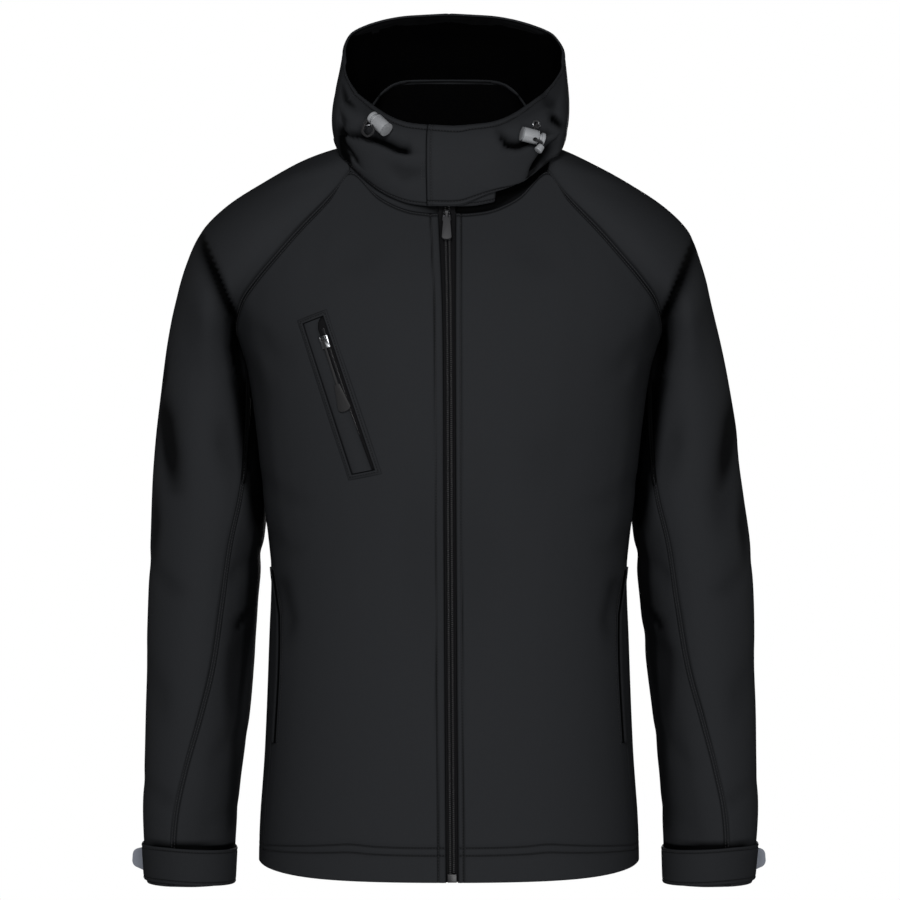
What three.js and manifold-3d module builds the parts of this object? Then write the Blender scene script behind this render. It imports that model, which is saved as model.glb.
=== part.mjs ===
// Black hooded softshell jacket with raglan sleeves, filled out as if worn, with nobody in it.
// Millimetres. +Z up, the front faces -Y, X to the viewer's right. The origin is the middle of
// the neck hole at shoulder height, where the wearer's shoulders carry the jacket.
// Heights in the tables are measured from the cloth's own zero, ORIGIN_HEIGHT below the origin.
import * as THREE from "three";
import { mergeVertices } from "three/addons/utils/BufferGeometryUtils.js";
import Module from "manifold-3d";

const wasm = await Module();
wasm.setup();

const ORIGIN_HEIGHT = 724;
const HEM_HEIGHT = 18;
const CLOTH = 2.0;
const SEAM_GAP = 0.34;
const ROUNDING = 2.3;

// Torso rings: half width and the depth in front of and behind the side line at each height.
const torso = [
  { h: 0, wide: 190, front: 135, back: 124 },
  { h: 60, wide: 189, front: 134, back: 123 },
  { h: 134, wide: 184, front: 131, back: 117 },
  { h: 234, wide: 180, front: 128, back: 109 },
  { h: 320, wide: 178, front: 129, back: 108 },
  { h: 384, wide: 183, front: 133, back: 114 },
  { h: 459, wide: 193, front: 138, back: 123 },
  { h: 520, wide: 203, front: 138, back: 128 },
  { h: 574, wide: 219, front: 131, back: 128 },
  { h: 620, wide: 226, front: 117, back: 120 },
  { h: 664, wide: 221, front: 96, back: 106 },
  { h: 713, wide: 200, front: 70, back: 82 },
  { h: 748, wide: 170, front: 52, back: 62 },
];

// Side seam: angle from the middle of the front, 90 at the side line.
const sideSeam = [
  { h: 0, angle: 77 },
  { h: 60, angle: 74 },
  { h: 144, angle: 72 },
  { h: 270, angle: 72 },
  { h: 322, angle: 84 },
  { h: 400, angle: 92 },
  { h: 528, angle: 100 },
];

// Raglan seams from the neck to the underarm, front and back, as distance from the middle.
const raglanFront = [
  { h: 707, out: 96 },
  { h: 680, out: 116 },
  { h: 650, out: 144 },
  { h: 624, out: 167 },
  { h: 600, out: 188 },
  { h: 578, out: 204 },
];
const raglanBack = [
  { h: 738, out: 78 },
  { h: 712, out: 104 },
  { h: 682, out: 134 },
  { h: 650, out: 162 },
  { h: 618, out: 186 },
  { h: 586, out: 203 },
];
const UNDERARM_HEIGHTS = [552, 528];

// Sleeve sections from the neck edge to the wrist. The first rows are the shoulder cap.
// tipOut, tipH and tipY place the outer line; front and back are how full each half is, and
// forward is how far the section has turned from a cap over the shoulder into a tube.
const cap = [
  { tipOut: 103, tipH: 738, tipY: 6, front: 0.5, back: 0.5, forward: 0.0 },
  { tipOut: 141, tipH: 724, tipY: 8, front: 0.52, back: 0.52, forward: 0.1 },
  { tipOut: 181, tipH: 703, tipY: 12, front: 0.54, back: 0.54, forward: 0.2 },
  { tipOut: 218, tipH: 679, tipY: 18, front: 0.56, back: 0.56, forward: 0.3 },
  { tipOut: 245, tipH: 652, tipY: 25, front: 0.58, back: 0.58, forward: 0.42 },
  { tipOut: 261, tipH: 618, tipY: 31, front: 0.62, back: 0.62, forward: 0.58 },
  { tipOut: 270, tipH: 580, tipY: 36, front: 0.9, back: 0.8, forward: 0.85 },
  { tipOut: 277, tipH: 543, tipY: 39, front: 1.3, back: 1.2, forward: 1.0 },
];
const sleeve = [
  { h: 505, inner: 198.5, outer: 283, mid: 40, deep: 76, seamFront: 0.1, seamBack: 0.1 },
  { h: 460, inner: 191, outer: 290, mid: 40, deep: 77, seamFront: 0.19, seamBack: 0.17 },
  { h: 417, inner: 186.5, outer: 294, mid: 38, deep: 76, seamFront: 0.256, seamBack: 0.22 },
  { h: 384, inner: 186, outer: 296, mid: 35, deep: 74, seamFront: 0.294, seamBack: 0.27 },
  { h: 340, inner: 188.5, outer: 297, mid: 30, deep: 71, seamFront: 0.367, seamBack: 0.32 },
  { h: 284, inner: 192, outer: 300, mid: 22, deep: 67, seamFront: 0.378, seamBack: 0.35 },
  { h: 221, inner: 198, outer: 302, mid: 12, deep: 63, seamFront: 0.394, seamBack: 0.37 },
  { h: 171, inner: 204, outer: 303, mid: 5, deep: 60, seamFront: 0.456, seamBack: 0.39 },
  { h: 119, inner: 209.5, outer: 304, mid: -2, deep: 57, seamFront: 0.528, seamBack: 0.4 },
  { h: 71, inner: 213, outer: 304, mid: -8, deep: 54, seamFront: 0.578, seamBack: 0.41 },
  { h: 5, inner: 215, outer: 301, mid: -15, deep: 50, seamFront: 0.62, seamBack: 0.42 },
];

// Neck ring that the panels, the collar and the hood all meet, by angle from the front.
const neckRing = [
  { angle: 0, out: 0, y: -97, h: 664 },
  { angle: 20, out: 35, y: -95, h: 665.5 },
  { angle: 35, out: 62, y: -88, h: 677 },
  { angle: 52, out: 85, y: -75, h: 694 },
  { angle: 62, out: 96, y: -62, h: 707 },
  { angle: 90, out: 103, y: 6, h: 738 },
  { angle: 120, out: 92, y: 44, h: 740 },
  { angle: 135, out: 78, y: 56, h: 738 },
  { angle: 160, out: 40, y: 63, h: 736 },
  { angle: 180, out: 0, y: 65, h: 735 },
];

// Hood, standing round the neck. From its seam the cloth passes lines a, b, c and d to the rim.
// Each line stands out from the neck ring by the first number, at the height of the second.
const hoodForm = [
  { angle: 0, aOut: 8, aH: 684, bOut: 11, bH: 700, cOut: 12, cH: 720, dOut: 8, dH: 738 },
  { angle: 25, aOut: 8, aH: 686, bOut: 11, bH: 702, cOut: 12, cH: 724, dOut: 8, dH: 743 },
  { angle: 45, aOut: 9, aH: 700, bOut: 12, bH: 716, cOut: 13, cH: 736, dOut: 8, dH: 755 },
  { angle: 62, aOut: 10, aH: 718, bOut: 14, bH: 732, cOut: 15, cH: 750, dOut: 9, dH: 768 },
  { angle: 90, aOut: 12, aH: 742, bOut: 15, bH: 757, cOut: 12.5, cH: 786, dOut: 6, dH: 811 },
  { angle: 105, aOut: 14, aH: 740, bOut: 17.5, bH: 753, cOut: 17, cH: 788, dOut: 10, dH: 824 },
  { angle: 120, aOut: 21, aH: 737, bOut: 29, bH: 748, cOut: 32, cH: 788, dOut: 19, dH: 833 },
  { angle: 135, aOut: 28, aH: 730, bOut: 54, bH: 738, cOut: 62, cH: 784, dOut: 36, dH: 842 },
  { angle: 150, aOut: 34, aH: 724, bOut: 75, bH: 729, cOut: 92, cH: 780, dOut: 56, dH: 847 },
  { angle: 165, aOut: 37, aH: 722, bOut: 85, bH: 726, cOut: 107, cH: 778, dOut: 69, dH: 849 },
  { angle: 180, aOut: 38, aH: 722, bOut: 88, bH: 726, cOut: 112, cH: 778, dOut: 74, dH: 850 },
];
const hoodRim = [
  { angle: 0, out: 0, y: -99 },
  { angle: 25, out: 42, y: -92 },
  { angle: 45, out: 68, y: -73 },
  { angle: 62, out: 87, y: -50 },
  { angle: 76, out: 99, y: -24 },
  { angle: 90, out: 105, y: 6 },
  { angle: 105, out: 106, y: 32 },
  { angle: 120, out: 97, y: 56 },
  { angle: 150, out: 56, y: 79 },
  { angle: 180, out: 0, y: 86 },
];
const RIM_FRONT = { y: -99, h: 749 };
const RIM_BACK = { y: 86, h: 881 };
const FLAP_LIFT = 3.6;

// Inner standing collar: its top edge.
const collarTop = [
  { angle: 0, out: 0, y: -92, h: 738 },
  { angle: 25, out: 40, y: -86, h: 741 },
  { angle: 62, out: 79, y: -44, h: 755 },
  { angle: 90, out: 83, y: 8, h: 770 },
  { angle: 120, out: 70, y: 46, h: 796 },
  { angle: 135, out: 57, y: 59, h: 807 },
  { angle: 150, out: 42, y: 66, h: 811 },
  { angle: 180, out: 0, y: 70, h: 812 },
];

const black = { color: 0x1c1d20, roughness: 0.85, metalness: 0 };
const darkTrim = { color: 0x141416, roughness: 0.7, metalness: 0 };
const greyRubber = { color: 0x8e9196, roughness: 0.6, metalness: 0 };
const steel = { color: 0x9a9ca0, roughness: 0.35, metalness: 1 };
const gunmetal = { color: 0x3c3d40, roughness: 0.4, metalness: 1 };

const part = new THREE.Group();
const vec = (x, y, z) => new THREE.Vector3(x, y, z);
const rad = THREE.MathUtils.degToRad;
const mix = THREE.MathUtils.lerp;

function add(name, geometry, look) {
  const mesh = new THREE.Mesh(geometry, new THREE.MeshStandardMaterial(look));
  mesh.name = name;
  part.add(mesh);
  return mesh;
}

// Smooth curve through one column of a table, against another column.
function along(table, at, column, key = "h") {
  const last = table.length - 1;
  const rising = table[last][key] > table[0][key];
  let i = 0;
  while (i < last - 1 && (rising ? at > table[i + 1][key] : at < table[i + 1][key])) i += 1;
  const slope = (k) => {
    const a = Math.max(k - 1, 0);
    const b = Math.min(k + 1, last);
    return (table[b][column] - table[a][column]) / (table[b][key] - table[a][key]);
  };
  const span = table[i + 1][key] - table[i][key];
  const t = THREE.MathUtils.clamp((at - table[i][key]) / span, 0, 1);
  const t2 = t * t;
  const t3 = t2 * t;
  const start = (2 * t3 - 3 * t2 + 1) * table[i][column] + (t3 - 2 * t2 + t) * span * slope(i);
  return start + (3 * t2 - 2 * t3) * table[i + 1][column] + (t3 - t2) * span * slope(i + 1);
}

const toZ = (h) => h - ORIGIN_HEIGHT;

// Point on the torso's outer surface: side is -1 or 1, angle runs 0 front, 90 side, 180 back.
function torsoPoint(side, angle, h) {
  const wide = along(torso, h, "wide");
  const depth = angle < 90 ? along(torso, h, "front") : along(torso, h, "back");
  const s = Math.sin(rad(angle));
  const c = Math.cos(rad(angle));
  const x = wide * Math.sign(s) * Math.abs(s) ** (2 / ROUNDING);
  const y = -Math.sign(c) * depth * Math.abs(c) ** (2 / ROUNDING);
  return vec(side * x, y, toZ(h));
}

function torsoNormal(side, angle, h) {
  const step = 1.5;
  const across = torsoPoint(side, angle + step, h).sub(torsoPoint(side, angle - step, h));
  const up = torsoPoint(side, angle, h + 4).sub(torsoPoint(side, angle, h - 4));
  const normal = across.cross(up).normalize();
  const out = torsoPoint(side, angle, h).setZ(0);
  return normal.dot(out) < 0 ? normal.negate() : normal;
}

// Angle on the torso ring of a point a given distance from the middle.
function angleOf(out, h, back) {
  const share = Math.min(out / along(torso, h, "wide"), 1);
  const angle = THREE.MathUtils.radToDeg(Math.asin(share ** (ROUNDING / 2)));
  return back ? 180 - angle : angle;
}

// Both raglan seams as lists of angle and height, meeting at the underarm.
function raglan(table, back) {
  const seam = table.map((row) => ({ h: row.h, angle: angleOf(row.out, row.h, back) }));
  const last = seam[seam.length - 1];
  const underarm = sideSeam[sideSeam.length - 1].angle;
  UNDERARM_HEIGHTS.forEach((h, k) => {
    const share = (k + 1) / UNDERARM_HEIGHTS.length;
    seam.push({ h, angle: mix(last.angle, underarm, share ** 0.8) });
  });
  return seam;
}
const seamFront = raglan(raglanFront, false);
const seamBack = raglan(raglanBack, true);

// Normals of a grid of points, turned to face the same way as the hint.
function gridNormals(points, outward) {
  const rows = points.length;
  const columns = points[0].length;
  return points.map((row, i) =>
    row.map((p, j) => {
      const a = points[Math.max(i - 1, 0)][j];
      const b = points[Math.min(i + 1, rows - 1)][j];
      const c = points[i][Math.max(j - 1, 0)];
      const d = points[i][Math.min(j + 1, columns - 1)];
      const normal = vec(0, 0, 0).crossVectors(b.clone().sub(a), d.clone().sub(c)).normalize();
      return normal.dot(outward(p, i, j)) < 0 ? normal.negate() : normal;
    }),
  );
}

// Closed wall of cloth from a grid of outer points, their normals and a thickness.
function wall(points, normals, thick, gap = SEAM_GAP / 2) {
  const rows = points.length;
  const columns = points[0].length;
  const outer = points.map((row) => row.map((p) => p.clone()));
  const pull = (i, j, ni, nj) => {
    const step = points[ni][nj].clone().sub(points[i][j]);
    const length = step.length();
    if (length > 1e-6) outer[i][j].addScaledVector(step.divideScalar(length), gap);
  };
  for (let i = 0; i < rows; i += 1) {
    pull(i, 0, i, 1);
    pull(i, columns - 1, i, columns - 2);
  }
  for (let j = 0; j < columns; j += 1) {
    pull(0, j, 1, j);
    pull(rows - 1, j, rows - 2, j);
  }
  const inner = outer.map((row, i) => row.map((p, j) => p.clone().addScaledVector(normals[i][j], -thick)));
  const positions = [...outer.flat(), ...inner.flat()].flatMap((p) => [p.x, p.y, p.z]);
  const id = (layer, i, j) => layer * rows * columns + i * columns + j;
  const faces = [];
  const quad = (a, b, c, d) => faces.push(a, b, c, a, c, d);
  for (let i = 0; i < rows - 1; i += 1) {
    for (let j = 0; j < columns - 1; j += 1) {
      quad(id(0, i, j), id(0, i, j + 1), id(0, i + 1, j + 1), id(0, i + 1, j));
      quad(id(1, i, j), id(1, i + 1, j), id(1, i + 1, j + 1), id(1, i, j + 1));
    }
    quad(id(0, i, 0), id(0, i + 1, 0), id(1, i + 1, 0), id(1, i, 0));
    const e = columns - 1;
    quad(id(0, i, e), id(1, i, e), id(1, i + 1, e), id(0, i + 1, e));
  }
  for (let j = 0; j < columns - 1; j += 1) {
    quad(id(0, 0, j), id(1, 0, j), id(1, 0, j + 1), id(0, 0, j + 1));
    const e = rows - 1;
    quad(id(0, e, j), id(0, e, j + 1), id(1, e, j + 1), id(1, e, j));
  }
  const normal = normals[0][0];
  const a = outer[0][1].clone().sub(outer[0][0]);
  const b = outer[1][0].clone().sub(outer[0][0]);
  if (a.cross(b).dot(normal) < 0) faces.reverse();
  const geometry = new THREE.BufferGeometry();
  geometry.setAttribute("position", new THREE.Float32BufferAttribute(positions, 3));
  geometry.setIndex(faces);
  geometry.computeVertexNormals();
  return geometry;
}

// Half width of the opening between the fronts that the zip fills, at a height.
const ZIP_LEAN = [
  { h: 0, middle: 3.2, half: 5.6 },
  { h: 340, middle: 1.0, half: 5.6 },
  { h: 559, middle: 0, half: 5.8 },
  { h: 664, middle: -1.9, half: 8.2 },
];
const zipMiddle = (h) => along(ZIP_LEAN, h, "middle");
const zipHalf = (h) => along(ZIP_LEAN, h, "half");

// Point on the torso's front at a true distance across and a height, moved out by a lift.
function onFront(x, h, lift = 0) {
  const side = x < 0 ? -1 : 1;
  const angle = angleOf(Math.abs(x), h, false);
  const p = torsoPoint(side, angle, h);
  p.x = x;
  return p.addScaledVector(frontNormal(x, h), lift);
}
function frontNormal(x, h) {
  const at = (dx, dh) => {
    const px = x + dx;
    const q = torsoPoint(px < 0 ? -1 : 1, angleOf(Math.abs(px), h + dh, false), h + dh);
    return q.setX(px);
  };
  const across = at(3, 0).sub(at(-3, 0));
  const up = at(0, 3).sub(at(0, -3));
  return across.cross(up).normalize();
}

// A front or half back: columns run from the hem to the neck edge, then down the raglan seam.
function panelGrid(side, tops, rows, firstAngle, hemCount) {
  const underarm = tops.length - 1;
  const points = [];
  for (let i = 0; i <= rows; i += 1) {
    const f = i / rows;
    points.push(
      tops.map((top, j) => {
        const h = mix(HEM_HEIGHT, top.h, f);
        const seamTop = along(sideSeam, Math.min(top.h, 528), "angle");
        const reach = (angle, seam) => (angle - firstAngle) / (seam - firstAngle);
        const share = mix(j / hemCount, reach(top.angle, seamTop), f * f * (3 - 2 * f));
        const seam = along(sideSeam, Math.min(h, 528), "angle");
        const angle = mix(firstAngle, seam, j === underarm ? 1 : share);
        return { angle, h };
      }),
    );
  }
  return points.map((row) => row.map((g) => ({ ...g, p: torsoPoint(side, g.angle, g.h) })));
}

const neckTops = (angles, back) =>
  angles.map((angle) => {
    const out = along(neckRing, angle, "out", "angle");
    const h = along(neckRing, angle, "h", "angle");
    return { h, angle: angleOf(Math.max(out, 0), h, back) };
  });

const PANEL_ROWS = 13;
for (const side of [-1, 1]) {
  const tops = [...neckTops([0, 12, 25, 40], false), ...seamFront];
  const grid = panelGrid(side, tops, PANEL_ROWS, 0, tops.length - 1);
  for (const row of grid) {
    const edge = zipMiddle(row[0].h) * side + zipHalf(row[0].h);
    row[0].p = onFront(side * edge, row[0].h);
    const second = row[1].p;
    second.x = side * Math.max(Math.abs(second.x), edge + 10);
  }
  const points = grid.map((row) => row.map((g) => g.p));
  const normals = grid.map((row) => row.map((g) => torsoNormal(side, g.angle, g.h)));
  add(side < 0 ? "front_left" : "front_right", wall(points, normals, CLOTH), black);
}

// Back: one piece from side seam to side seam.
{
  const tops = [...neckTops([180, 168, 156, 145], true), ...seamBack];
  const half = (side) => panelGrid(side, tops, PANEL_ROWS, 180, tops.length - 1);
  const left = half(-1);
  const right = half(1);
  const points = left.map((row, i) => [
    ...row.map((g) => g.p).reverse(),
    ...right[i].slice(1).map((g) => g.p),
  ]);
  const normals = left.map((row, i) => [
    ...row.map((g) => torsoNormal(-1, g.angle, g.h)).reverse(),
    ...right[i].slice(1).map((g) => torsoNormal(1, g.angle, g.h)),
  ]);
  add("back", wall(points, normals, CLOTH), black);
}

const UNDERARM_START = 0.015;

// One half section of the sleeve as a cubic curve from its inner end to the outer line.
function bezier(a, b, c, d, s) {
  const r = 1 - s;
  return a.clone().multiplyScalar(r ** 3)
    .addScaledVector(b, 3 * r * r * s)
    .addScaledVector(c, 3 * r * s * s)
    .addScaledVector(d, s ** 3);
}

// Section of the sleeve's tube: a front and a back half from its inner to its outer line.
function tubeSection(side, { h, inner, outer, mid, deep }) {
  const tip = vec(side * outer, mid, toZ(h));
  const foot = vec(side * inner, mid, toZ(h));
  const halves = [-1, 1].map((forth) => {
    const reach = vec(0, (forth * deep * 4) / 3, 0);
    return { foot, first: foot.clone().add(reach), second: tip.clone().add(reach) };
  });
  return { tip, halves };
}

// Sections of a sleeve: the shoulder cap first, then the tube down to the wrist.
function sleeveSections(side) {
  const sections = cap.map((row, k) => {
    const tip = vec(side * row.tipOut, row.tipY, toZ(row.tipH));
    const halves = [seamFront[k], seamBack[k]].map((seam, b) => {
      const foot = torsoPoint(side, seam.angle, seam.h);
      const forth = b === 0 ? -1 : 1;
      const reach = Math.abs(tip.y - foot.y) + 12;
      const outward = tip.clone().sub(foot).setY(0);
      const pull = b === 0 ? row.front : row.back;
      const leave = outward.clone().multiplyScalar(0.62 * (1 - row.forward));
      leave.y += forth * row.forward * 104 * Math.min(pull, 1);
      leave.x += side * row.forward * 12;
      const arrive = vec(0, forth * mix(0.58 * reach, 104, row.forward), 0);
      return { foot, first: foot.clone().add(leave), second: tip.clone().add(arrive) };
    });
    const start = k === cap.length - 1 ? UNDERARM_START : 0;
    return { tip, halves, seamFront: start, seamBack: start };
  });
  for (const row of sleeve) {
    sections.push({ ...tubeSection(side, row), seamFront: row.seamFront, seamBack: row.seamBack });
  }
  return sections;
}

function sleevePoint(section, half, s) {
  const { foot, first, second } = section.halves[half];
  return bezier(foot, first, second, section.tip, s);
}

const CAP_ROWS = cap.length;
const UPPER_COLUMNS = 7;
const UNDER_COLUMNS = 3;
for (const side of [-1, 1]) {
  const name = side < 0 ? "left" : "right";
  const sections = sleeveSections(side);
  const centre = (section) => section.halves[0].foot.clone().add(section.tip).multiplyScalar(0.5);
  const spread = (from, count) =>
    Array.from({ length: count + 1 }, (_, k) => from + ((1 - from) * k) / count);
  const upper = sections.map((section) => [
    ...spread(section.seamFront, UPPER_COLUMNS).map((s) => sleevePoint(section, 0, s)),
    ...spread(section.seamBack, UPPER_COLUMNS).reverse().slice(1).map((s) => sleevePoint(section, 1, s)),
  ]);
  const away = (p, i) => p.clone().sub(centre(sections[i])).add(i < 4 ? vec(side * 20, 0, 60) : vec(0, 0, 0));
  const normals = gridNormals(upper, away);
  const lastColumn = upper[0].length - 1;
  for (let k = 0; k < CAP_ROWS - 2; k += 1) {
    normals[k][0] = torsoNormal(side, seamFront[k].angle, seamFront[k].h);
    normals[k][lastColumn] = torsoNormal(side, seamBack[k].angle, seamBack[k].h);
  }
  add(`sleeve_upper_${name}`, wall(upper, normals, CLOTH), black);
  const underSections = sections.slice(CAP_ROWS - 1);
  const under = underSections.map((section) => [
    ...Array.from({ length: UNDER_COLUMNS + 1 }, (_, k) => section.seamFront * (1 - k / UNDER_COLUMNS))
      .map((s) => sleevePoint(section, 0, s)),
    ...Array.from({ length: UNDER_COLUMNS }, (_, k) => (section.seamBack * (k + 1)) / UNDER_COLUMNS)
      .map((s) => sleevePoint(section, 1, s)),
  ]);
  const underNormals = gridNormals(under, (p, i) => p.clone().sub(centre(underSections[i])));
  const endColumn = under[0].length - 1;
  underNormals.forEach((row, i) => {
    const share = normals[i + CAP_ROWS - 1];
    row[0] = share[0];
    row[endColumn] = share[lastColumn];
  });
  add(`sleeve_under_${name}`, wall(under, underNormals, CLOTH), black);
}

// Neck edge of one side from the front middle to the back middle: a point, the way out of the
// neck there, and the angle that the hood and collar tables use.
const FRONT_NECK = [0, 12, 25, 40];
const BACK_NECK = [145, 156, 168, 180];
function neckEdge(side) {
  const edge = [];
  const onPanel = (angle, back) => {
    const [top] = neckTops([angle], back);
    const p = torsoPoint(side, top.angle, top.h);
    if (angle === 0) p.copy(onFront(side * (zipMiddle(top.h) * side + zipHalf(top.h)), top.h));
    edge.push({ p, angle });
  };
  FRONT_NECK.forEach((angle) => onPanel(angle, false));
  const [section] = sleeveSections(side);
  for (let k = 0; k <= UPPER_COLUMNS; k += 1) {
    const s = k / UPPER_COLUMNS;
    edge.push({ p: sleevePoint(section, 0, s), angle: mix(62, 90, s) });
  }
  for (let k = UPPER_COLUMNS - 1; k >= 0; k -= 1) {
    const s = k / UPPER_COLUMNS;
    edge.push({ p: sleevePoint(section, 1, s), angle: mix(135, 90, s) });
  }
  BACK_NECK.forEach((angle) => onPanel(angle, true));
  edge.forEach((column, j) => {
    const a = edge[Math.max(j - 1, 0)].p;
    const b = edge[Math.min(j + 1, edge.length - 1)].p;
    const out = vec(b.y - a.y, a.x - b.x, 0).normalize();
    column.out = out.dot(column.p) < 0 ? out.negate() : out;
  });
  edge[0].out = vec(side * 0.05, -1, 0).normalize();
  edge[edge.length - 1].out = vec(0, 1, 0);
  return edge;
}

// Standing collar inside the hood, in one piece round the neck, open at the zip.
const COLLAR_RISE = 0.45;
{
  const column = (side, c) => {
    const top = vec(
      side * Math.max(along(collarTop, c.angle, "out", "angle"), c.angle < 5 ? 7 : 0),
      along(collarTop, c.angle, "y", "angle"),
      toZ(along(collarTop, c.angle, "h", "angle")),
    );
    const foot = c.p.clone().addScaledVector(c.out, -0.1);
    foot.z += COLLAR_RISE;
    return { foot, top, out: c.out };
  };
  const left = neckEdge(-1).map((c) => column(-1, c));
  const right = neckEdge(1).map((c) => column(1, c));
  const columns = [...left, ...right.reverse().slice(1)];
  const shares = [0, 0.3, 0.65, 1];
  const points = shares.map((f) =>
    columns.map((c) => c.foot.clone().lerp(c.top, f).addScaledVector(c.out, -Math.sin(Math.PI * f))),
  );
  const normals = gridNormals(points, (p, i, j) => columns[j].out);
  normals[0] = columns.map((c) => c.out);
  add("collar", wall(points, normals, CLOTH), black);
}

// Hood: one cut piece a side, joined up the middle of the back. The right one laps over at
// the front as the chin flap, the left one runs on under it.
const rimHeight = (y) => mix(RIM_FRONT.h, RIM_BACK.h, (y - RIM_FRONT.y) / (RIM_BACK.y - RIM_FRONT.y));
function hoodColumn(side, c, lift) {
  const row = (name) => along(hoodForm, c.angle, name, "angle");
  const at = (out, h) => vec(c.p.x, c.p.y, toZ(h)).addScaledVector(c.out, out + lift);
  const rim = vec(
    side * Math.max(along(hoodRim, c.angle, "out", "angle"), 0),
    along(hoodRim, c.angle, "y", "angle"),
    0,
  );
  if (c.angle === 0) rim.x = c.p.x;
  rim.z = toZ(rimHeight(rim.y));
  rim.addScaledVector(c.out, lift);
  const seamHeight = c.p.z + ORIGIN_HEIGHT + 6.5;
  const line = [
    at(1.6, seamHeight),
    at(row("aOut"), row("aH")),
    at(row("bOut"), row("bH")),
    at(row("cOut"), row("cH")),
    at(row("dOut"), row("dH")),
    rim,
  ];
  const curve = new THREE.CatmullRomCurve3(line, false, "centripetal");
  return [0, 0.1, 0.2, 0.35, 0.5, 0.62, 0.74, 0.87, 1].map((t) => curve.getPoint(t));
}
const FLAP_RISE = [
  { angle: -13, lift: 1 },
  { angle: 0, lift: 1 },
  { angle: 12, lift: 1 },
  { angle: 25, lift: 1 },
  { angle: 40, lift: 0.72 },
  { angle: 62, lift: 0.15 },
  { angle: 76, lift: 0 },
];
const hoods = [];
for (const side of [-1, 1]) {
  const own = neckEdge(side).map((c) => ({ ...c, side }));
  const other = neckEdge(-side).map((c) => ({ ...c, side: -side }));
  const reach = side < 0 ? other.slice(1, 3).reverse() : other.slice(1, 2);
  const columns = [...reach, ...own];
  const rises = (c) => along(FLAP_RISE, Math.min(c.side === side ? c.angle : -c.angle, 76), "lift", "angle");
  const lift = (c) => (side > 0 ? FLAP_LIFT * rises(c) : 0);
  const lines = columns.map((c) => hoodColumn(c.side, c, lift(c)));
  const points = lines[0].map((_, i) => lines.map((line) => line[i]));
  const normals = gridNormals(points, (p, i, j) => columns[j].out);
  normals.forEach((row) => row[row.length - 1].setX(0).normalize());
  hoods[side < 0 ? 0 : 1] = add(side < 0 ? "hood_left" : "hood_right", wall(points, normals, CLOTH), black);
}

// A patch of cloth lying on the fronts: rows of true places, lifted clear, with its own wall.
function frontPatch(rows, lift, thick) {
  const points = rows.map((row) => row.map(([x, h]) => onFront(x, h, lift + thick)));
  const normals = rows.map((row) => row.map(([x, h]) => frontNormal(x, h)));
  return wall(points, normals, thick, 0);
}

// Centre-front zip: tape behind the gap between the fronts, and the closed chain on it.
const CHAIN_HALF = 3.0;
const ZIP_FOOT = 27;
const ZIP_HEAD = 664;
{
  const rows = (half, foot, head, count) =>
    Array.from({ length: count + 1 }, (_, k) => {
      const h = mix(foot, head, k / count);
      const reach = half(h);
      const middle = zipMiddle(h);
      return [[middle - reach, h], [middle, h], [middle + reach, h]];
    });
  const tapeHalf = (h) => zipHalf(h) - 0.5;
  add("zip_tape", frontPatch(rows(tapeHalf, HEM_HEIGHT + 1, 664, 26), -2.6, 1.2), darkTrim);
  add("zip_chain", frontPatch(rows(() => CHAIN_HALF, ZIP_FOOT, ZIP_HEAD - 1, 26), -1.0, 1.5), darkTrim);
  const box = rows(() => 4.4, 18.5, ZIP_FOOT - 0.5, 1);
  add("zip_bottom_box", frontPatch(box, -1.0, 2.6), darkTrim);
}

// Frame for hardware that sits on the fronts: across, up along the zip, and out of the cloth.
function frameAt(x, h, lean, lift) {
  const out = frontNormal(x, h);
  const up = vec(Math.sin(lean), 0, Math.cos(lean));
  up.addScaledVector(out, -up.dot(out)).normalize();
  const across = up.clone().cross(out).normalize();
  const at = onFront(x, h, lift);
  return new THREE.Matrix4().makeBasis(across, up, out).setPosition(at);
}

function solid(geometry) {
  const flat = geometry.index ? geometry.toNonIndexed() : geometry;
  const bare = new THREE.BufferGeometry().setAttribute("position", flat.getAttribute("position"));
  const merged = mergeVertices(bare, 1e-4);
  return new wasm.Manifold(
    new wasm.Mesh({
      numProp: 3,
      vertProperties: merged.attributes.position.array,
      triVerts: new Uint32Array(merged.index.array),
    }),
  );
}
function shown(manifold) {
  const mesh = manifold.getMesh();
  const geometry = new THREE.BufferGeometry();
  geometry.setAttribute("position", new THREE.Float32BufferAttribute(mesh.vertProperties, 3));
  geometry.setIndex([...mesh.triVerts]);
  geometry.computeVertexNormals();
  return geometry;
}
const box = (w, d, t, x, y, z) => solid(new THREE.BoxGeometry(w, d, t).translate(x, y, z));
const barX = (r, length, y, z, sides = 12) =>
  solid(new THREE.CylinderGeometry(r, r, length, sides).rotateZ(Math.PI / 2).translate(0, y, z));

// Zip slider: a body with two cheeks that carry the pin the pull turns on.
const PIN_UP = 3.2;
const PIN_OVER = 2.45;
function slider(width, length, tall) {
  const cheekHeight = tall + PIN_OVER + 1.1;
  let body = box(width, length, tall, 0, 0, tall / 2);
  for (const end of [-1, 1]) body = body.add(box(1.2, 3.6, cheekHeight, end * 2.6, PIN_UP, cheekHeight / 2));
  return body.add(barX(0.65, 5.6, PIN_UP, tall + PIN_OVER));
}

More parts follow.
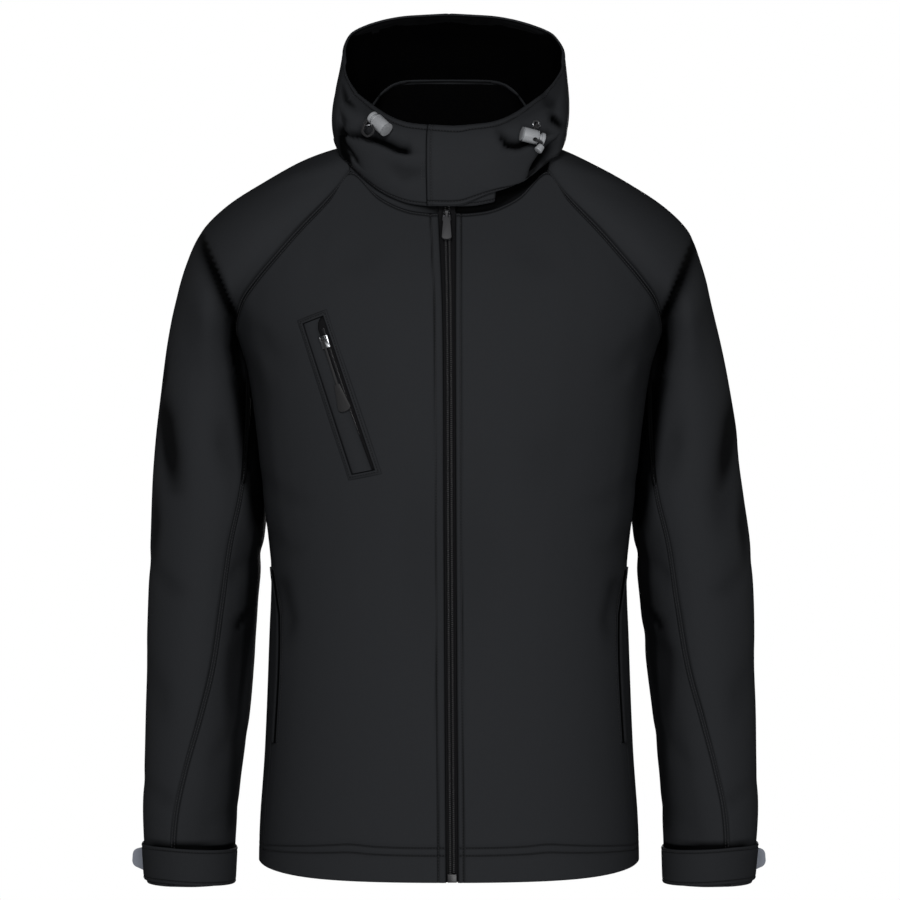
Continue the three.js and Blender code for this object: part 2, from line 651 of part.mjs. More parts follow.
// Pull: an eye round the pin, a cord stem and a moulded tab that widens to a rounded end.
// It hangs from the pin, turned in degrees towards the cloth.
function pull({ tall, stem, tab: tabLength, top: topWidth, end: endWidth, thick, droop }) {
  const z = tall + PIN_OVER;
  const eye = barX(2.0, 3.2, PIN_UP, z).subtract(barX(1.05, 4, PIN_UP, z));
  const stemBar = box(2.2, stem, 1.4, 0, PIN_UP - 1.6 - stem / 2, z);
  const outline = new THREE.Shape();
  const top = PIN_UP - 1.4 - stem;
  const r = endWidth / 2;
  outline.moveTo(-topWidth / 2, top);
  outline.lineTo(topWidth / 2, top);
  outline.lineTo(r, top - tabLength + r * 0.6);
  outline.quadraticCurveTo(r, top - tabLength, 0, top - tabLength);
  outline.quadraticCurveTo(-r, top - tabLength, -r, top - tabLength + r * 0.6);
  outline.closePath();
  const tab = new THREE.ExtrudeGeometry(outline, { depth: thick, bevelEnabled: false, curveSegments: 5 });
  return eye
    .add(stemBar)
    .add(solid(tab.translate(0, 0, z - thick / 2)))
    .translate([0, -PIN_UP, -z])
    .rotate([droop, 0, 0])
    .translate([0, PIN_UP, z]);
}

const MAIN_SLIDER = { x: -2.2, h: 659.5, lean: 0, width: 8.4, length: 9, tall: 2.0 };
const MAIN_PULL = { tall: 2.0, stem: 5, tab: 24, top: 6.3, end: 9.4, thick: 2.2, droop: 0 };
function placed(manifold, frame) {
  return shown(manifold).applyMatrix4(frame);
}

// Where each moving piece turns or slides, kept with the part.
part.userData.axes = {};
function keepAxis(name, frame, tall) {
  const at = vec(0, PIN_UP, tall + PIN_OVER).applyMatrix4(frame);
  part.userData.axes[name] = { at, axis: vec(0, 0, 0).setFromMatrixColumn(frame, 0) };
}
{
  const { x, h, lean, width, length, tall } = MAIN_SLIDER;
  const frame = frameAt(x, h, lean, 0.85);
  keepAxis("pull_main", frame, tall);
  add("slider_main", placed(slider(width, length, tall), frame), gunmetal);
  add("pull_main", placed(pull(MAIN_PULL), frame), greyRubber);
}

// Slanted chest pocket on the wearer's right: a welt over most of the opening, the zip beside it.
const POCKET = {
  topLeft: [-140.9, 556.2],
  topRight: [-121.2, 563.4],
  botRight: [-71.2, 414.8],
  botLeft: [-93.3, 410.4],
};
const WELT_SHARE = 0.66;
const CHEST_LIFT = 0.45;
function pocketRows(from, to, count, across) {
  const lerp2 = (a, b, t) => [mix(a[0], b[0], t), mix(a[1], b[1], t)];
  return Array.from({ length: count + 1 }, (_, k) => {
    const left = lerp2(POCKET.botLeft, POCKET.topLeft, k / count);
    const right = lerp2(POCKET.botRight, POCKET.topRight, k / count);
    return Array.from({ length: across + 1 }, (__, j) => lerp2(left, right, mix(from, to, j / across)));
  });
}
const CHEST_LEAN = -Math.atan2(50, 147);
const CHEST_PULL = { tall: 1.8, stem: 45, tab: 27, top: 5.5, end: 13, thick: 2.2, droop: 4.5 };
{
  add("chest_pocket_welt", frontPatch(pocketRows(0, WELT_SHARE, 8, 2), CHEST_LIFT, 1.5), black);
  add("chest_pocket_zip", frontPatch(pocketRows(WELT_SHARE + 0.03, 0.97, 8, 1), CHEST_LIFT, 1.0), darkTrim);
  const frame = frameAt(-118.5, 538, CHEST_LEAN, CHEST_LIFT + 2.0);
  keepAxis("chest_pull", frame, 1.8);
  add("chest_slider", placed(slider(8.4, 12, 1.8), frame), steel);
  add("chest_pull", placed(pull(CHEST_PULL), frame), greyRubber);
}

// Side pockets: a zipped welt just in front of each side seam.
const SIDE_POCKET = { foot: 146, head: 318, near: 1.2, far: 6.2 };
for (const side of [-1, 1]) {
  const heights = Array.from({ length: 8 }, (_, k) => mix(SIDE_POCKET.foot, SIDE_POCKET.head, k / 7));
  const angles = [SIDE_POCKET.near, (SIDE_POCKET.near + SIDE_POCKET.far) / 2, SIDE_POCKET.far];
  const at = (h, a) => along(sideSeam, h, "angle") - a;
  const lift = 0.6 + 1.4;
  const normals = heights.map((h) => angles.map((a) => torsoNormal(side, at(h, a), h)));
  const points = heights.map((h, i) =>
    angles.map((a, j) => torsoPoint(side, at(h, a), h).addScaledVector(normals[i][j], lift)),
  );
  add(side < 0 ? "side_pocket_left" : "side_pocket_right", wall(points, normals, 1.4, 0), darkTrim);
}

// Cuff straps over the front of each sleeve end, and the moulded grey tab at their outer ends.
const STRAP = { foot: 9.5, head: 41, thick: 1.8, lift: 0.9, inner: 0.22, outer: 0.84 };
for (const side of [-1, 1]) {
  const name = side < 0 ? "left" : "right";
  const section = (h) => {
    const row = (key) => along(sleeve, h, key);
    const [inner, outer, mid, deep] = ["inner", "outer", "mid", "deep"].map(row);
    return tubeSection(side, { h, inner, outer, mid, deep });
  };
  const heights = [STRAP.foot, mix(STRAP.foot, STRAP.head, 0.5), STRAP.head];
  const sections = heights.map(section);
  const count = 16;
  const raw = sections.map((one) => [
    sleevePoint(one, 1, STRAP.inner),
    sleevePoint(one, 1, STRAP.inner / 2),
    ...Array.from({ length: count + 1 }, (_, k) => sleevePoint(one, 0, k / count)),
    sleevePoint(one, 1, 0.95),
    sleevePoint(one, 1, 0.9),
    sleevePoint(one, 1, STRAP.outer),
  ]);
  const middle = (i) => sections[i].tip.clone().add(sections[i].halves[0].foot).multiplyScalar(0.5);
  const normals = gridNormals(raw, (p, i) => p.clone().sub(middle(i)));
  const points = raw.map((row, i) =>
    row.map((p, j) => p.clone().addScaledVector(normals[i][j], STRAP.lift + STRAP.thick)),
  );
  add(`cuff_strap_${name}`, wall(points, normals, STRAP.thick, 0), black);
  const last = points[1].length - 1;
  const base = points[1][last - 1].clone().addScaledVector(normals[1][last - 1], 1.1);
  const outline = new THREE.Shape();
  outline.moveTo(0, 12);
  outline.lineTo(9, 10);
  outline.quadraticCurveTo(14, 8.5, 14.5, 4);
  outline.lineTo(15, -3);
  outline.quadraticCurveTo(14.5, -8, 9, -9.5);
  outline.lineTo(0, -13);
  outline.closePath();
  const plate = new THREE.ExtrudeGeometry(outline, {
    depth: 2.4,
    bevelEnabled: false,
    curveSegments: 4,
  }).translate(0, 0, -1.2);
  const outward = normals[1][last - 1].clone().setZ(0).normalize();
  const upward = vec(0, 0, 1);
  const face = outward.clone().cross(upward).normalize();
  plate.applyMatrix4(new THREE.Matrix4().makeBasis(outward, upward, face).setPosition(base));
  add(`cuff_tab_${name}`, plate, greyRubber);
}

// Drawcord hardware on the hood: an eyelet a side, a sprung cord lock and the cord between.
const EYELET = { outer: 4.6, inner: 2.4, thick: 1.0, lift: 0.9 };
const LOCK = { r: 7, length: 13.6, bore: 4.7, depth: 11.2, shaft: 4.2, head: 6, headLength: 3.4, gap: 3.5 };
const CORD_R = 1.2;
const HOLE_AT = 4.8;
const TRAVEL = 3.0;
function onHood(side, x, h) {
  hoods.forEach((mesh) => mesh.updateMatrixWorld(true));
  const ray = new THREE.Raycaster(vec(x, -400, toZ(h)), vec(0, 1, 0));
  const [hit] = ray.intersectObject(hoods[side < 0 ? 0 : 1]);
  return { p: hit.point, out: hit.face.normal.clone() };
}
function hoodFrame(side, x, h, turn, lift) {
  const { p, out } = onHood(side, x, h);
  const axis = vec(Math.cos(turn), 0, Math.sin(turn));
  axis.addScaledVector(out, -axis.dot(out)).normalize();
  const across = out.clone().cross(axis).normalize();
  return new THREE.Matrix4().makeBasis(axis, across, out).setPosition(p.clone().addScaledVector(out, lift));
}
const turnedX = (geometry) => solid(geometry.rotateZ(Math.PI / 2));
function barrel() {
  const { r, length, bore, depth } = LOCK;
  const body = turnedX(new THREE.CylinderGeometry(r, r, length, 20));
  const ends = [-1, 1].map((end) => turnedX(new THREE.CylinderGeometry(r, r - 1.4, 1.4, 20)
    .rotateX(end < 0 ? Math.PI : 0)
    .translate(0, end * (length / 2 + 0.7), 0)));
  const cut = turnedX(new THREE.CylinderGeometry(bore, bore, depth, 16))
    .translate([length / 2 + 1.4 - depth / 2 + 0.01, 0, 0]);
  const through = solid(new THREE.CylinderGeometry(2.4, 2.4, 2 * r + 4, 12)).translate([HOLE_AT, 0, 0]);
  return body.add(ends[0]).add(ends[1]).subtract(cut).subtract(through);
}
function plunger() {
  const { length, depth, shaft, head, headLength, gap } = LOCK;
  const mouth = length / 2 + 1.4;
  const foot = mouth - depth + gap;
  const long = mouth + gap - foot;
  const rod = turnedX(new THREE.CylinderGeometry(shaft, shaft, long, 16)).translate([foot + long / 2, 0, 0]);
  const button = turnedX(new THREE.CylinderGeometry(head, head, headLength, 20));
  const slot = box(2 * CORD_R + TRAVEL + 1, 2 * shaft + 2, 4.2, HOLE_AT + TRAVEL / 2, 0, 0);
  return rod.add(button.translate([mouth + gap + headLength / 2 - 0.01, 0, 0])).subtract(slot);
}
function cordAlong(places) {
  const path = new THREE.CatmullRomCurve3(places, false, "centripetal");
  const ring = new THREE.Shape();
  ring.absarc(0, 0, CORD_R, 0, 2 * Math.PI, false);
  const steps = Math.max(8, Math.round(path.getLength() / 3.5));
  return new THREE.ExtrudeGeometry(ring, { extrudePath: path, steps, curveSegments: 5, bevelEnabled: false });
}
const LOCKS = {
  left: {
    side: -1,
    x: -64.6,
    h: 744.8,
    turn: rad(127),
    roll: 0,
    eyeletX: -78.5,
    eyeletH: 752.5,
    loop: [
      [11.1, 14.5, -2],
      [7.7, 17.7, -2],
      [0.4, 17.4, -2],
      [-0.5, 11.1, -1],
      [HOLE_AT, 6, 0],
    ],
    leave: [[HOLE_AT, -6, 0]],
  },
  right: {
    side: 1,
    x: 75.8,
    h: 737.4,
    turn: rad(-9.7),
    roll: rad(-50),
    eyeletX: 84.5,
    eyeletH: 751,
    loop: [
      [HOLE_AT, 9.5, -5.8],
      [HOLE_AT, 4, -4.7],
    ],
    leave: [
      [HOLE_AT, -3.9, 4.6],
      [HOLE_AT + 1, -5, 6.6],
      [8.8, -5.2, 7],
      [11.6, -5.6, 5.6],
      [12.3, -6.1, 4.8],
    ],
    stopAt: [11.4, -11, 2.8],
    stopTurn: rad(-27),
  },
};
for (const [name, lock] of Object.entries(LOCKS)) {
  const ring = new THREE.LatheGeometry(
    [
      new THREE.Vector2(EYELET.inner, 0),
      new THREE.Vector2(EYELET.outer, 0),
      new THREE.Vector2(EYELET.outer - 0.4, EYELET.thick),
      new THREE.Vector2(EYELET.inner, EYELET.thick),
      new THREE.Vector2(EYELET.inner, 0),
    ],
    20,
  ).rotateX(Math.PI / 2);
  const eyeletFrame = hoodFrame(lock.side, lock.eyeletX, lock.eyeletH, 0, EYELET.lift);
  add(`eyelet_${name}`, shown(solid(ring)).applyMatrix4(eyeletFrame), steel);
  const frame = hoodFrame(lock.side, lock.x, lock.h, lock.turn, LOCK.r + 0.8);
  const rolled = frame.clone().multiply(new THREE.Matrix4().makeRotationX(lock.roll));
  add(`lock_${name}`, placed(barrel(), rolled), greyRubber);
  add(`plunger_${name}`, placed(plunger(), rolled), greyRubber);
  const inward = vec(0, 0, 0).setFromMatrixColumn(frame, 0).negate();
  part.userData.axes[`plunger_${name}`] = { at: vec(0, 0, 0).setFromMatrixPosition(frame), axis: inward };
  const at = (x, y, z) => vec(x, y, z).applyMatrix4(frame);
  const from = (x, y, z) => vec(x, y, z).applyMatrix4(eyeletFrame);
  const enter = [from(0, 0, -0.1), from(0, 0, 2.5), ...lock.loop.map(([x, y, z]) => at(x, y, z))];
  add(`cord_${name}`, cordAlong([...enter, ...lock.leave.map(([x, y, z]) => at(x, y, z))]), black);
  if (lock.stopAt) {
    const bead = new THREE.CylinderGeometry(3.5, 4.2, 6.8, 14).rotateZ(lock.stopTurn);
    add(`cord_stop_${name}`, bead.translate(...lock.stopAt).applyMatrix4(frame), greyRubber);
  }
}

export default part;
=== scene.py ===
import math
import bpy
import numpy as np
from mathutils import Matrix, Vector


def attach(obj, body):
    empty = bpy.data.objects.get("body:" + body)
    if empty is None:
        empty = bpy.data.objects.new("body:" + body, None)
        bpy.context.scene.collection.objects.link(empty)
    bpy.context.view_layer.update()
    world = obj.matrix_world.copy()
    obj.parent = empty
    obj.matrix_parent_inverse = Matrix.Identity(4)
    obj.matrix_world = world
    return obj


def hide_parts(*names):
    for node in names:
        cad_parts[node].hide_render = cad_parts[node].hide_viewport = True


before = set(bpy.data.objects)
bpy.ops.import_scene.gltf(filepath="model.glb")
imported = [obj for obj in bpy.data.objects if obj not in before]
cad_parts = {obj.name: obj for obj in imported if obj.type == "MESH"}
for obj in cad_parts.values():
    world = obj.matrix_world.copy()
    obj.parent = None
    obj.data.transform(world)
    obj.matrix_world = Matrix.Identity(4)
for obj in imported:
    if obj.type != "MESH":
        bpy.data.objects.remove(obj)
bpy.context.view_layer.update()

# Camera: level with the lower chest, straight in front of the jacket, far enough back that a
# millimetre at the side seams is one pixel of a 900 pixel picture.
eye = bpy.data.cameras.new("eye")
eye.lens = 136.0
eye.sensor_width = 36.0
eye_stand = bpy.data.objects.new("eye_stand", eye)
bpy.context.collection.objects.link(eye_stand)
eye_stand.location = (0.001, -3.4, -0.290)
eye_stand.rotation_euler = (math.radians(90), 0, 0)
bpy.context.scene.camera = eye_stand

# Drawcords: braided elastic, 2.4 mm thick. Each leaves the hood by an eyelet and goes through
# a cord lock; the viewer's right one carries a moulded end stop.
CORD_THICK = 0.0024


def smooth_line(points, steps):
    """Points along a centripetal curve through a few places."""
    p = [Vector(q) for q in points]
    p = [p[0] * 2 - p[1]] + p + [p[-1] * 2 - p[-2]]
    line = []
    for i in range(1, len(p) - 2):
        t = [0.0]
        for a, b in zip(p[i - 1:i + 2], p[i:i + 3]):
            t.append(t[-1] + max((b - a).length ** 0.5, 1e-6))
        for k in range(steps):
            s = t[1] + (t[2] - t[1]) * k / steps
            a1 = p[i - 1].lerp(p[i], (s - t[0]) / (t[1] - t[0]))
            a2 = p[i].lerp(p[i + 1], (s - t[1]) / (t[2] - t[1]))
            a3 = p[i + 1].lerp(p[i + 2], (s - t[2]) / (t[3] - t[2]))
            b1 = a1.lerp(a2, (s - t[0]) / (t[2] - t[0]))
            b2 = a2.lerp(a3, (s - t[1]) / (t[3] - t[1]))
            line.append(b1.lerp(b2, (s - t[1]) / (t[2] - t[1])))
    return line + [p[-2]]


def procedural(name, colour, rough, metal=0.0):
    """A new material with its principled shader and node tree."""
    mat = bpy.data.materials.new(name)
    mat.use_nodes = True
    shader = mat.node_tree.nodes["Principled BSDF"]
    shader.inputs["Base Color"].default_value = (*colour, 1)
    shader.inputs["Roughness"].default_value = rough
    shader.inputs["Metallic"].default_value = metal
    return mat, mat.node_tree, shader


def node(tree, kind, **values):
    """A new node with its own settings and the values of its inputs."""
    made = tree.nodes.new(kind)
    for key, value in values.items():
        if hasattr(made, key):
            setattr(made, key, value)
        else:
            made.inputs[key.replace("_", " ")].default_value = value
    return made


def two_tone(tree, shader, height, dark, light, strength, distance):
    """Colour and bump of a surface from one height pattern."""
    ramp = tree.nodes.new("ShaderNodeMix")
    ramp.data_type = "RGBA"
    ramp.inputs[6].default_value = (*dark, 1)
    ramp.inputs[7].default_value = (*light, 1)
    tree.links.new(height, ramp.inputs[0])
    tree.links.new(ramp.outputs[2], shader.inputs["Base Color"])
    bump = node(tree, "ShaderNodeBump", Strength=strength, Distance=distance)
    tree.links.new(height, bump.inputs["Height"])
    tree.links.new(bump.outputs[0], shader.inputs["Normal"])
    return ramp


def patterned(base, tones, strength, distance, kind="Noise", by="Object", specular=None, **values):
    """A material of one texture, which drives both its two tones and its bump."""
    mat, tree, shader = procedural(*base)
    if specular is not None:
        shader.inputs["Specular IOR Level"].default_value = specular
    where = node(tree, "ShaderNodeTexCoord")
    if kind == "Wave":
        values["wave_type"] = "BANDS"
    pattern = node(tree, "ShaderNodeTex" + kind, **values)
    tree.links.new(where.outputs[by], pattern.inputs["Vector"])
    two_tone(tree, shader, pattern.outputs["Fac"], *tones, strength, distance)
    return mat


braid = patterned(
    ("cord_braid", (0.012, 0.012, 0.014), 0.55), ((0.008, 0.008, 0.009), (0.030, 0.030, 0.033)), 0.6, 0.0004,
    "Wave", bands_direction="DIAGONAL", Scale=900.0, Distortion=1.0)

# The route of each cord's middle: out of its eyelet, round and through its cord lock, to its end.
CORD_ROUTES = {
    "left": [
        (-0.07867, -0.08832, 0.02895), (-0.07922, -0.09040, 0.03041), (-0.08339, -0.09883, 0.02231),
        (-0.08372, -0.10132, 0.01837), (-0.07890, -0.10474, 0.01407), (-0.07360, -0.10432, 0.01771),
        (-0.07312, -0.10125, 0.02445), (-0.06389, -0.09803, 0.03141)],
    "right": [
        (0.08486, -0.09041, 0.02714), (0.08605, -0.09268, 0.02759), (0.08246, -0.09544, 0.02180),
        (0.08188, -0.09775, 0.01672), (0.08330, -0.10831, 0.01079), (0.08464, -0.11020, 0.00987),
        (0.08755, -0.10987, 0.00908), (0.08972, -0.10794, 0.00783), (0.09006, -0.10713, 0.00705)]}
for word, route in CORD_ROUTES.items():
    line = smooth_line(route, 6)
    curve = bpy.data.curves.new("drawcord_" + word, "CURVE")
    curve.dimensions = "3D"
    curve.bevel_depth = CORD_THICK / 2
    curve.bevel_resolution = 4
    curve.use_fill_caps = True
    spline = curve.splines.new("POLY")
    spline.points.add(len(line) - 1)
    for point, q in zip(spline.points, line):
        point.co = (*q, 1)
    spline.use_smooth = True
    cord = bpy.data.objects.new("drawcord_" + word, curve)
    bpy.context.collection.objects.link(cord)
    cord.data.materials.append(braid)
    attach(cord, "garment")
    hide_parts("cord_" + word)

# The end stop, moulded in light grey plastic, squeezed on to the viewer's right cord.
def hard_copy(node_name, name, mat, bevel, body="garment"):
    """A hard piece in its own material, its edges eased, in place of its CAD node."""
    bpy.ops.object.select_all(action="DESELECT")
    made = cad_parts[node_name].copy()
    made.data = made.data.copy()
    made.parent = None
    made.matrix_world = Matrix.Identity(4)
    made.name = made.data.name = name
    bpy.context.collection.objects.link(made)
    bpy.context.view_layer.objects.active = made
    made.select_set(True)
    bpy.ops.object.mode_set(mode="EDIT")
    bpy.ops.mesh.select_all(action="SELECT")
    bpy.ops.mesh.remove_doubles(threshold=0.00001)
    bpy.ops.mesh.dissolve_limited(angle_limit=math.radians(1.0))
    bpy.ops.object.mode_set(mode="OBJECT")
    ease = made.modifiers.new("ease", "BEVEL")
    ease.width = bevel
    ease.segments = 3
    ease.limit_method = "ANGLE"
    ease.angle_limit = math.radians(40)
    ease.harden_normals = False
    bpy.ops.object.modifier_apply(modifier="ease")
    bpy.ops.object.shade_smooth_by_angle(angle=math.radians(35))
    made.data.materials.clear()
    made.data.materials.append(mat)
    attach(made, body)
    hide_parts(node_name)
    return made


def moulded(name, colour, rough):
    """Moulded plastic or rubber with a fine even grain."""
    tones = [tuple(c * share for c in colour) for share in (0.86, 1.1)]
    return patterned((name, colour, rough), tones, 0.25, 0.00012, Scale=1400.0, Detail=3.0)


grey_plastic = moulded("grey_plastic", (0.32, 0.33, 0.345), 0.42)
stop = hard_copy("cord_stop_right", "cord_end_stop", grey_plastic, 0.0008)

# Shell cloth: black softshell, a tightly woven polyester face bonded to a brushed knitted back.
# The face is plain and dull, its weave only just shows close up; the back is black, its colour set far darker
# than the face as painted shade on the inside of every piece.
CLOTH = 0.0020
softshell, cloth_tree, cloth_shader = procedural("softshell", (0.0190, 0.0200, 0.0225), 0.70)
cloth_shader.inputs["Specular IOR Level"].default_value = 0.02
place = node(cloth_tree, "ShaderNodeTexCoord")
warp, weft = [
    node(cloth_tree, "ShaderNodeTexWave", wave_type="BANDS", bands_direction=way, Scale=260.0, Distortion=0.5)
    for way in "XY"]
mottle = node(cloth_tree, "ShaderNodeTexNoise", Scale=14.0, Detail=6.0, Roughness=0.65)
slub = node(cloth_tree, "ShaderNodeTexNoise", Scale=700.0, Detail=3.0)
for pattern in (warp, weft):
    cloth_tree.links.new(place.outputs["UV"], pattern.inputs["Vector"])
for pattern in (mottle, slub):
    cloth_tree.links.new(place.outputs["Object"], pattern.inputs["Vector"])
weave = node(cloth_tree, "ShaderNodeMath", operation="ADD")
cloth_tree.links.new(warp.outputs["Fac"], weave.inputs[0])
cloth_tree.links.new(weft.outputs["Fac"], weave.inputs[1])
grain = node(cloth_tree, "ShaderNodeMix", data_type="FLOAT")
grain.inputs[0].default_value = 0.65
cloth_tree.links.new(weave.outputs[0], grain.inputs[2])
cloth_tree.links.new(slub.outputs["Fac"], grain.inputs[3])
shade = two_tone(
    cloth_tree, cloth_shader, grain.outputs[0], (0.0198, 0.0211, 0.0234), (0.0253, 0.0266, 0.0292),
    0.35, 0.0002)
# Painted shade: the point attribute deep mixes the shell colour towards near black in folds, stitch grooves,
# seams, free edges and between parts, where shade falls.
deep = node(cloth_tree, "ShaderNodeAttribute", attribute_name="deep")
painted_shade_mix = node(cloth_tree, "ShaderNodeMix", data_type="RGBA")
painted_shade_mix.inputs[7].default_value = (0.0006, 0.0007, 0.0008, 1)
cloth_tree.links.new(deep.outputs["Fac"], painted_shade_mix.inputs[0])
cloth_tree.links.new(shade.outputs[2], painted_shade_mix.inputs[6])
cloth_tree.links.new(painted_shade_mix.outputs[2], cloth_shader.inputs["Base Color"])
rough = node(cloth_tree, "ShaderNodeMapRange", To_Min=0.62, To_Max=0.76)
cloth_tree.links.new(mottle.outputs["Fac"], rough.inputs["Value"])
cloth_tree.links.new(rough.outputs[0], cloth_shader.inputs["Roughness"])

# Inside of every cloth piece: black brushed back, its tone set near black as painted shade for the insides of
# hood, collar and sleeves.
fleece_in_painted_shade = patterned(
    ("fleece_back_painted_shade", (0.0012, 0.0012, 0.0014), 0.95), ((0.0006, 0.0006, 0.0007), (0.0018, 0.0018, 0.0020)),
    0.5, 0.0006, specular=0.02, Scale=520.0, Detail=4.0)
facing = patterned(
    ("hood_facing", (0.006, 0.0063, 0.007), 0.85), ((0.0010, 0.0010, 0.0012), (0.0105, 0.0110, 0.0120)),
    0.5, 0.0010, specular=0.05, Scale=60.0, Detail=5.0)

# Body: two fronts and a back that wraps to the side seams. Rings give the half width and the
# depth before and behind the side line at each height above the cloth's own zero, in mm.
ZERO = 724.0
HEM = 18.0
TORSO = np.array([
    # height, half width, front, back
    (0, 190, 135, 124), (60, 189, 134, 123), (134, 184, 131, 117), (234, 180, 128, 109),
    (320, 178, 129, 108), (384, 185.5, 133, 114), (459, 193, 138, 123), (520, 203, 138, 128),
    (574, 219, 131, 128), (620, 226, 117, 120), (664, 221, 96, 106), (713, 200, 70, 82),
    (748, 170, 52, 62)], float)
SIDE_SEAM = np.array([(0, 77), (60, 74), (144, 72), (270, 72), (322, 84), (400, 92), (528, 100)], float)
FRONT_RAGLAN = [(707, 96), (680, 116), (650, 144), (624, 167), (600, 188), (578, 204)]
BACK_RAGLAN = [(738, 78), (712, 104), (682, 134), (650, 162), (618, 186), (586, 203)]
NECK = np.array([
    # angle, out from the middle, height
    (0, 0, 664), (20, 35, 665.5), (35, 62, 677), (52, 85, 694), (62, 96, 707), (90, 103, 738),
    (120, 92, 740), (135, 78, 738), (160, 40, 736), (180, 0, 735)], float)
ZIP_GAP = np.array([(0, 3.2, 5.6), (340, 1.0, 5.6), (559, 0, 5.8), (664, -1.9, 8.2)], float)


def along(table, at, column, key=0):
    """Smooth curve through one column of a table, against its key column."""
    x, y = table[:, key], table[:, column]
    i = int(np.clip(np.searchsorted(x, at) - 1, 0, len(x) - 2))

    def slope(k):
        a, b = max(k - 1, 0), min(k + 1, len(x) - 1)
        return (y[b] - y[a]) / (x[b] - x[a])

    span = x[i + 1] - x[i]
    t = min(max((at - x[i]) / span, 0.0), 1.0)
    return ((2 * t**3 - 3 * t**2 + 1) * y[i] + (t**3 - 2 * t**2 + t) * span * slope(i)
            + (3 * t**2 - 2 * t**3) * y[i + 1] + (t**3 - t**2) * span * slope(i + 1))


def torso_point(side, angle, h):
    wide = along(TORSO, h, 1)
    deep = along(TORSO, h, 2 if angle < 90 else 3)
    s, c = math.sin(math.radians(angle)), math.cos(math.radians(angle))
    x = wide * math.copysign(abs(s) ** (2 / 2.3), s)
    return np.array((side * x, -math.copysign(deep * abs(c) ** (2 / 2.3), c), h - ZERO))


def angle_of(out, h, back=False):
    share = min(out / along(TORSO, h, 1), 1.0)
    angle = math.degrees(math.asin(share ** (2.3 / 2)))
    return 180 - angle if back else angle


def on_front(x, h, lift=0.0):
    """A place on the fronts at a distance across and a height, lifted off the cloth; and its normal.

    Above the neck seam it follows the zip up the front of the collar."""
    up = max(h - 664.0, 0.0)
    h -= up
    def at(dx, dh):
        q = torso_point(1 if x + dx >= 0 else -1, angle_of(abs(x + dx), h + dh), h + dh)
        q[0] = x + dx
        return q
    n = np.cross(at(3, 0) - at(-3, 0), at(0, 3) - at(0, -3))
    n /= np.linalg.norm(n)
    return at(0, 0) + n * lift + (0, 0.05 * up, up), n


def raglan(table, back):
    seam = [(h, angle_of(out, h, back)) for h, out in table]
    last = seam[-1][1]
    seam += [(h, last + (100 - last) * (k / 2) ** 0.8) for k, h in ((1, 552), (2, 528))]
    return seam


FRONT_SEAM, BACK_SEAM = raglan(FRONT_RAGLAN, False), raglan(BACK_RAGLAN, True)


def neck_tops(angles, back):
    return [(along(NECK, a, 2), angle_of(max(along(NECK, a, 1), 0), along(NECK, a, 2), back)) for a in angles]


def panel(side, tops, first, rows=20):
    """Columns from the hem up to the neck edge and the raglan seam, rows from hem to top."""
    grid = []
    for i in range(rows + 1):
        f, row = i / rows, []
        for j, (top, top_angle) in enumerate(tops):
            h = HEM + (top - HEM) * f
            def reach(a, seam):
                return (a - first) / (seam - first)
            share_top = reach(top_angle, along(SIDE_SEAM, min(top, 528), 1))
            low = j / (len(tops) - 1)
            share = low + (share_top - low) * f * f * (3 - 2 * f)
            if j == len(tops) - 1:
                share = 1.0
            row.append(torso_point(side, first + (along(SIDE_SEAM, min(h, 528), 1) - first) * share, h))
        grid.append(row)
    return np.array(grid)


def weights(count, at):
    """Cubic weights that pass a smooth curve through count even places."""
    w = np.zeros((len(at), count))
    for r, t in enumerate(at):
        s = min(max(t, 0.0), 1.0) * (count - 1)
        i = min(int(s), count - 2)
        f = s - i
        terms = ((-f + 2 * f**2 - f**3) / 2, (2 - 5 * f**2 + 3 * f**3) / 2, (f + 4 * f**2 - 3 * f**3) / 2,
                 (f**3 - f**2) / 2)
        for k, value in zip((i - 1, i, i + 1, i + 2), terms):
            if k < 0:
                w[r, 0] += 2 * value
                w[r, 1] -= value
            elif k > count - 1:
                w[r, count - 1] += 2 * value
                w[r, count - 2] -= value
            else:
                w[r, k] += value
    return w


def fine(count, long, start=(), end=()):
    """Places from 0 to 1 along a length in mm: even ones, and close ones by a worked edge."""
    first = [0.0, 0.6, 1.2, 2.0, 3.0, 4.4]
    near = sorted(first + [q + d for q in start for d in (-1.2, -0.5, 0, 0.5, 1.2)])
    far = sorted(first + [q + d for q in end for d in (-1.2, -0.5, 0, 0.5, 1.2)])
    near = [q for i, q in enumerate(near) if i == 0 or q - near[i - 1] > 0.35]
    far = [q for i, q in enumerate(far) if i == 0 or q - far[i - 1] > 0.35]
    even = np.linspace(0, long, count)
    even = [q for q in even
            if min(abs(q - e) for e in near) > 1.6 and min(abs(long - q - e) for e in far) > 1.6]
    return np.array(sorted(near + even + [long - q for q in far])) / long


def grid_normals(p, outward):
    du = np.gradient(p, axis=0)
    dv = np.gradient(p, axis=1)
    n = np.cross(du, dv)
    n /= np.maximum(np.linalg.norm(n, axis=2, keepdims=True), 1e-9)
    return -n if (n * outward).sum() < 0 else n


# Creases die out this near to an edge, in mm.
CALM = 6.0


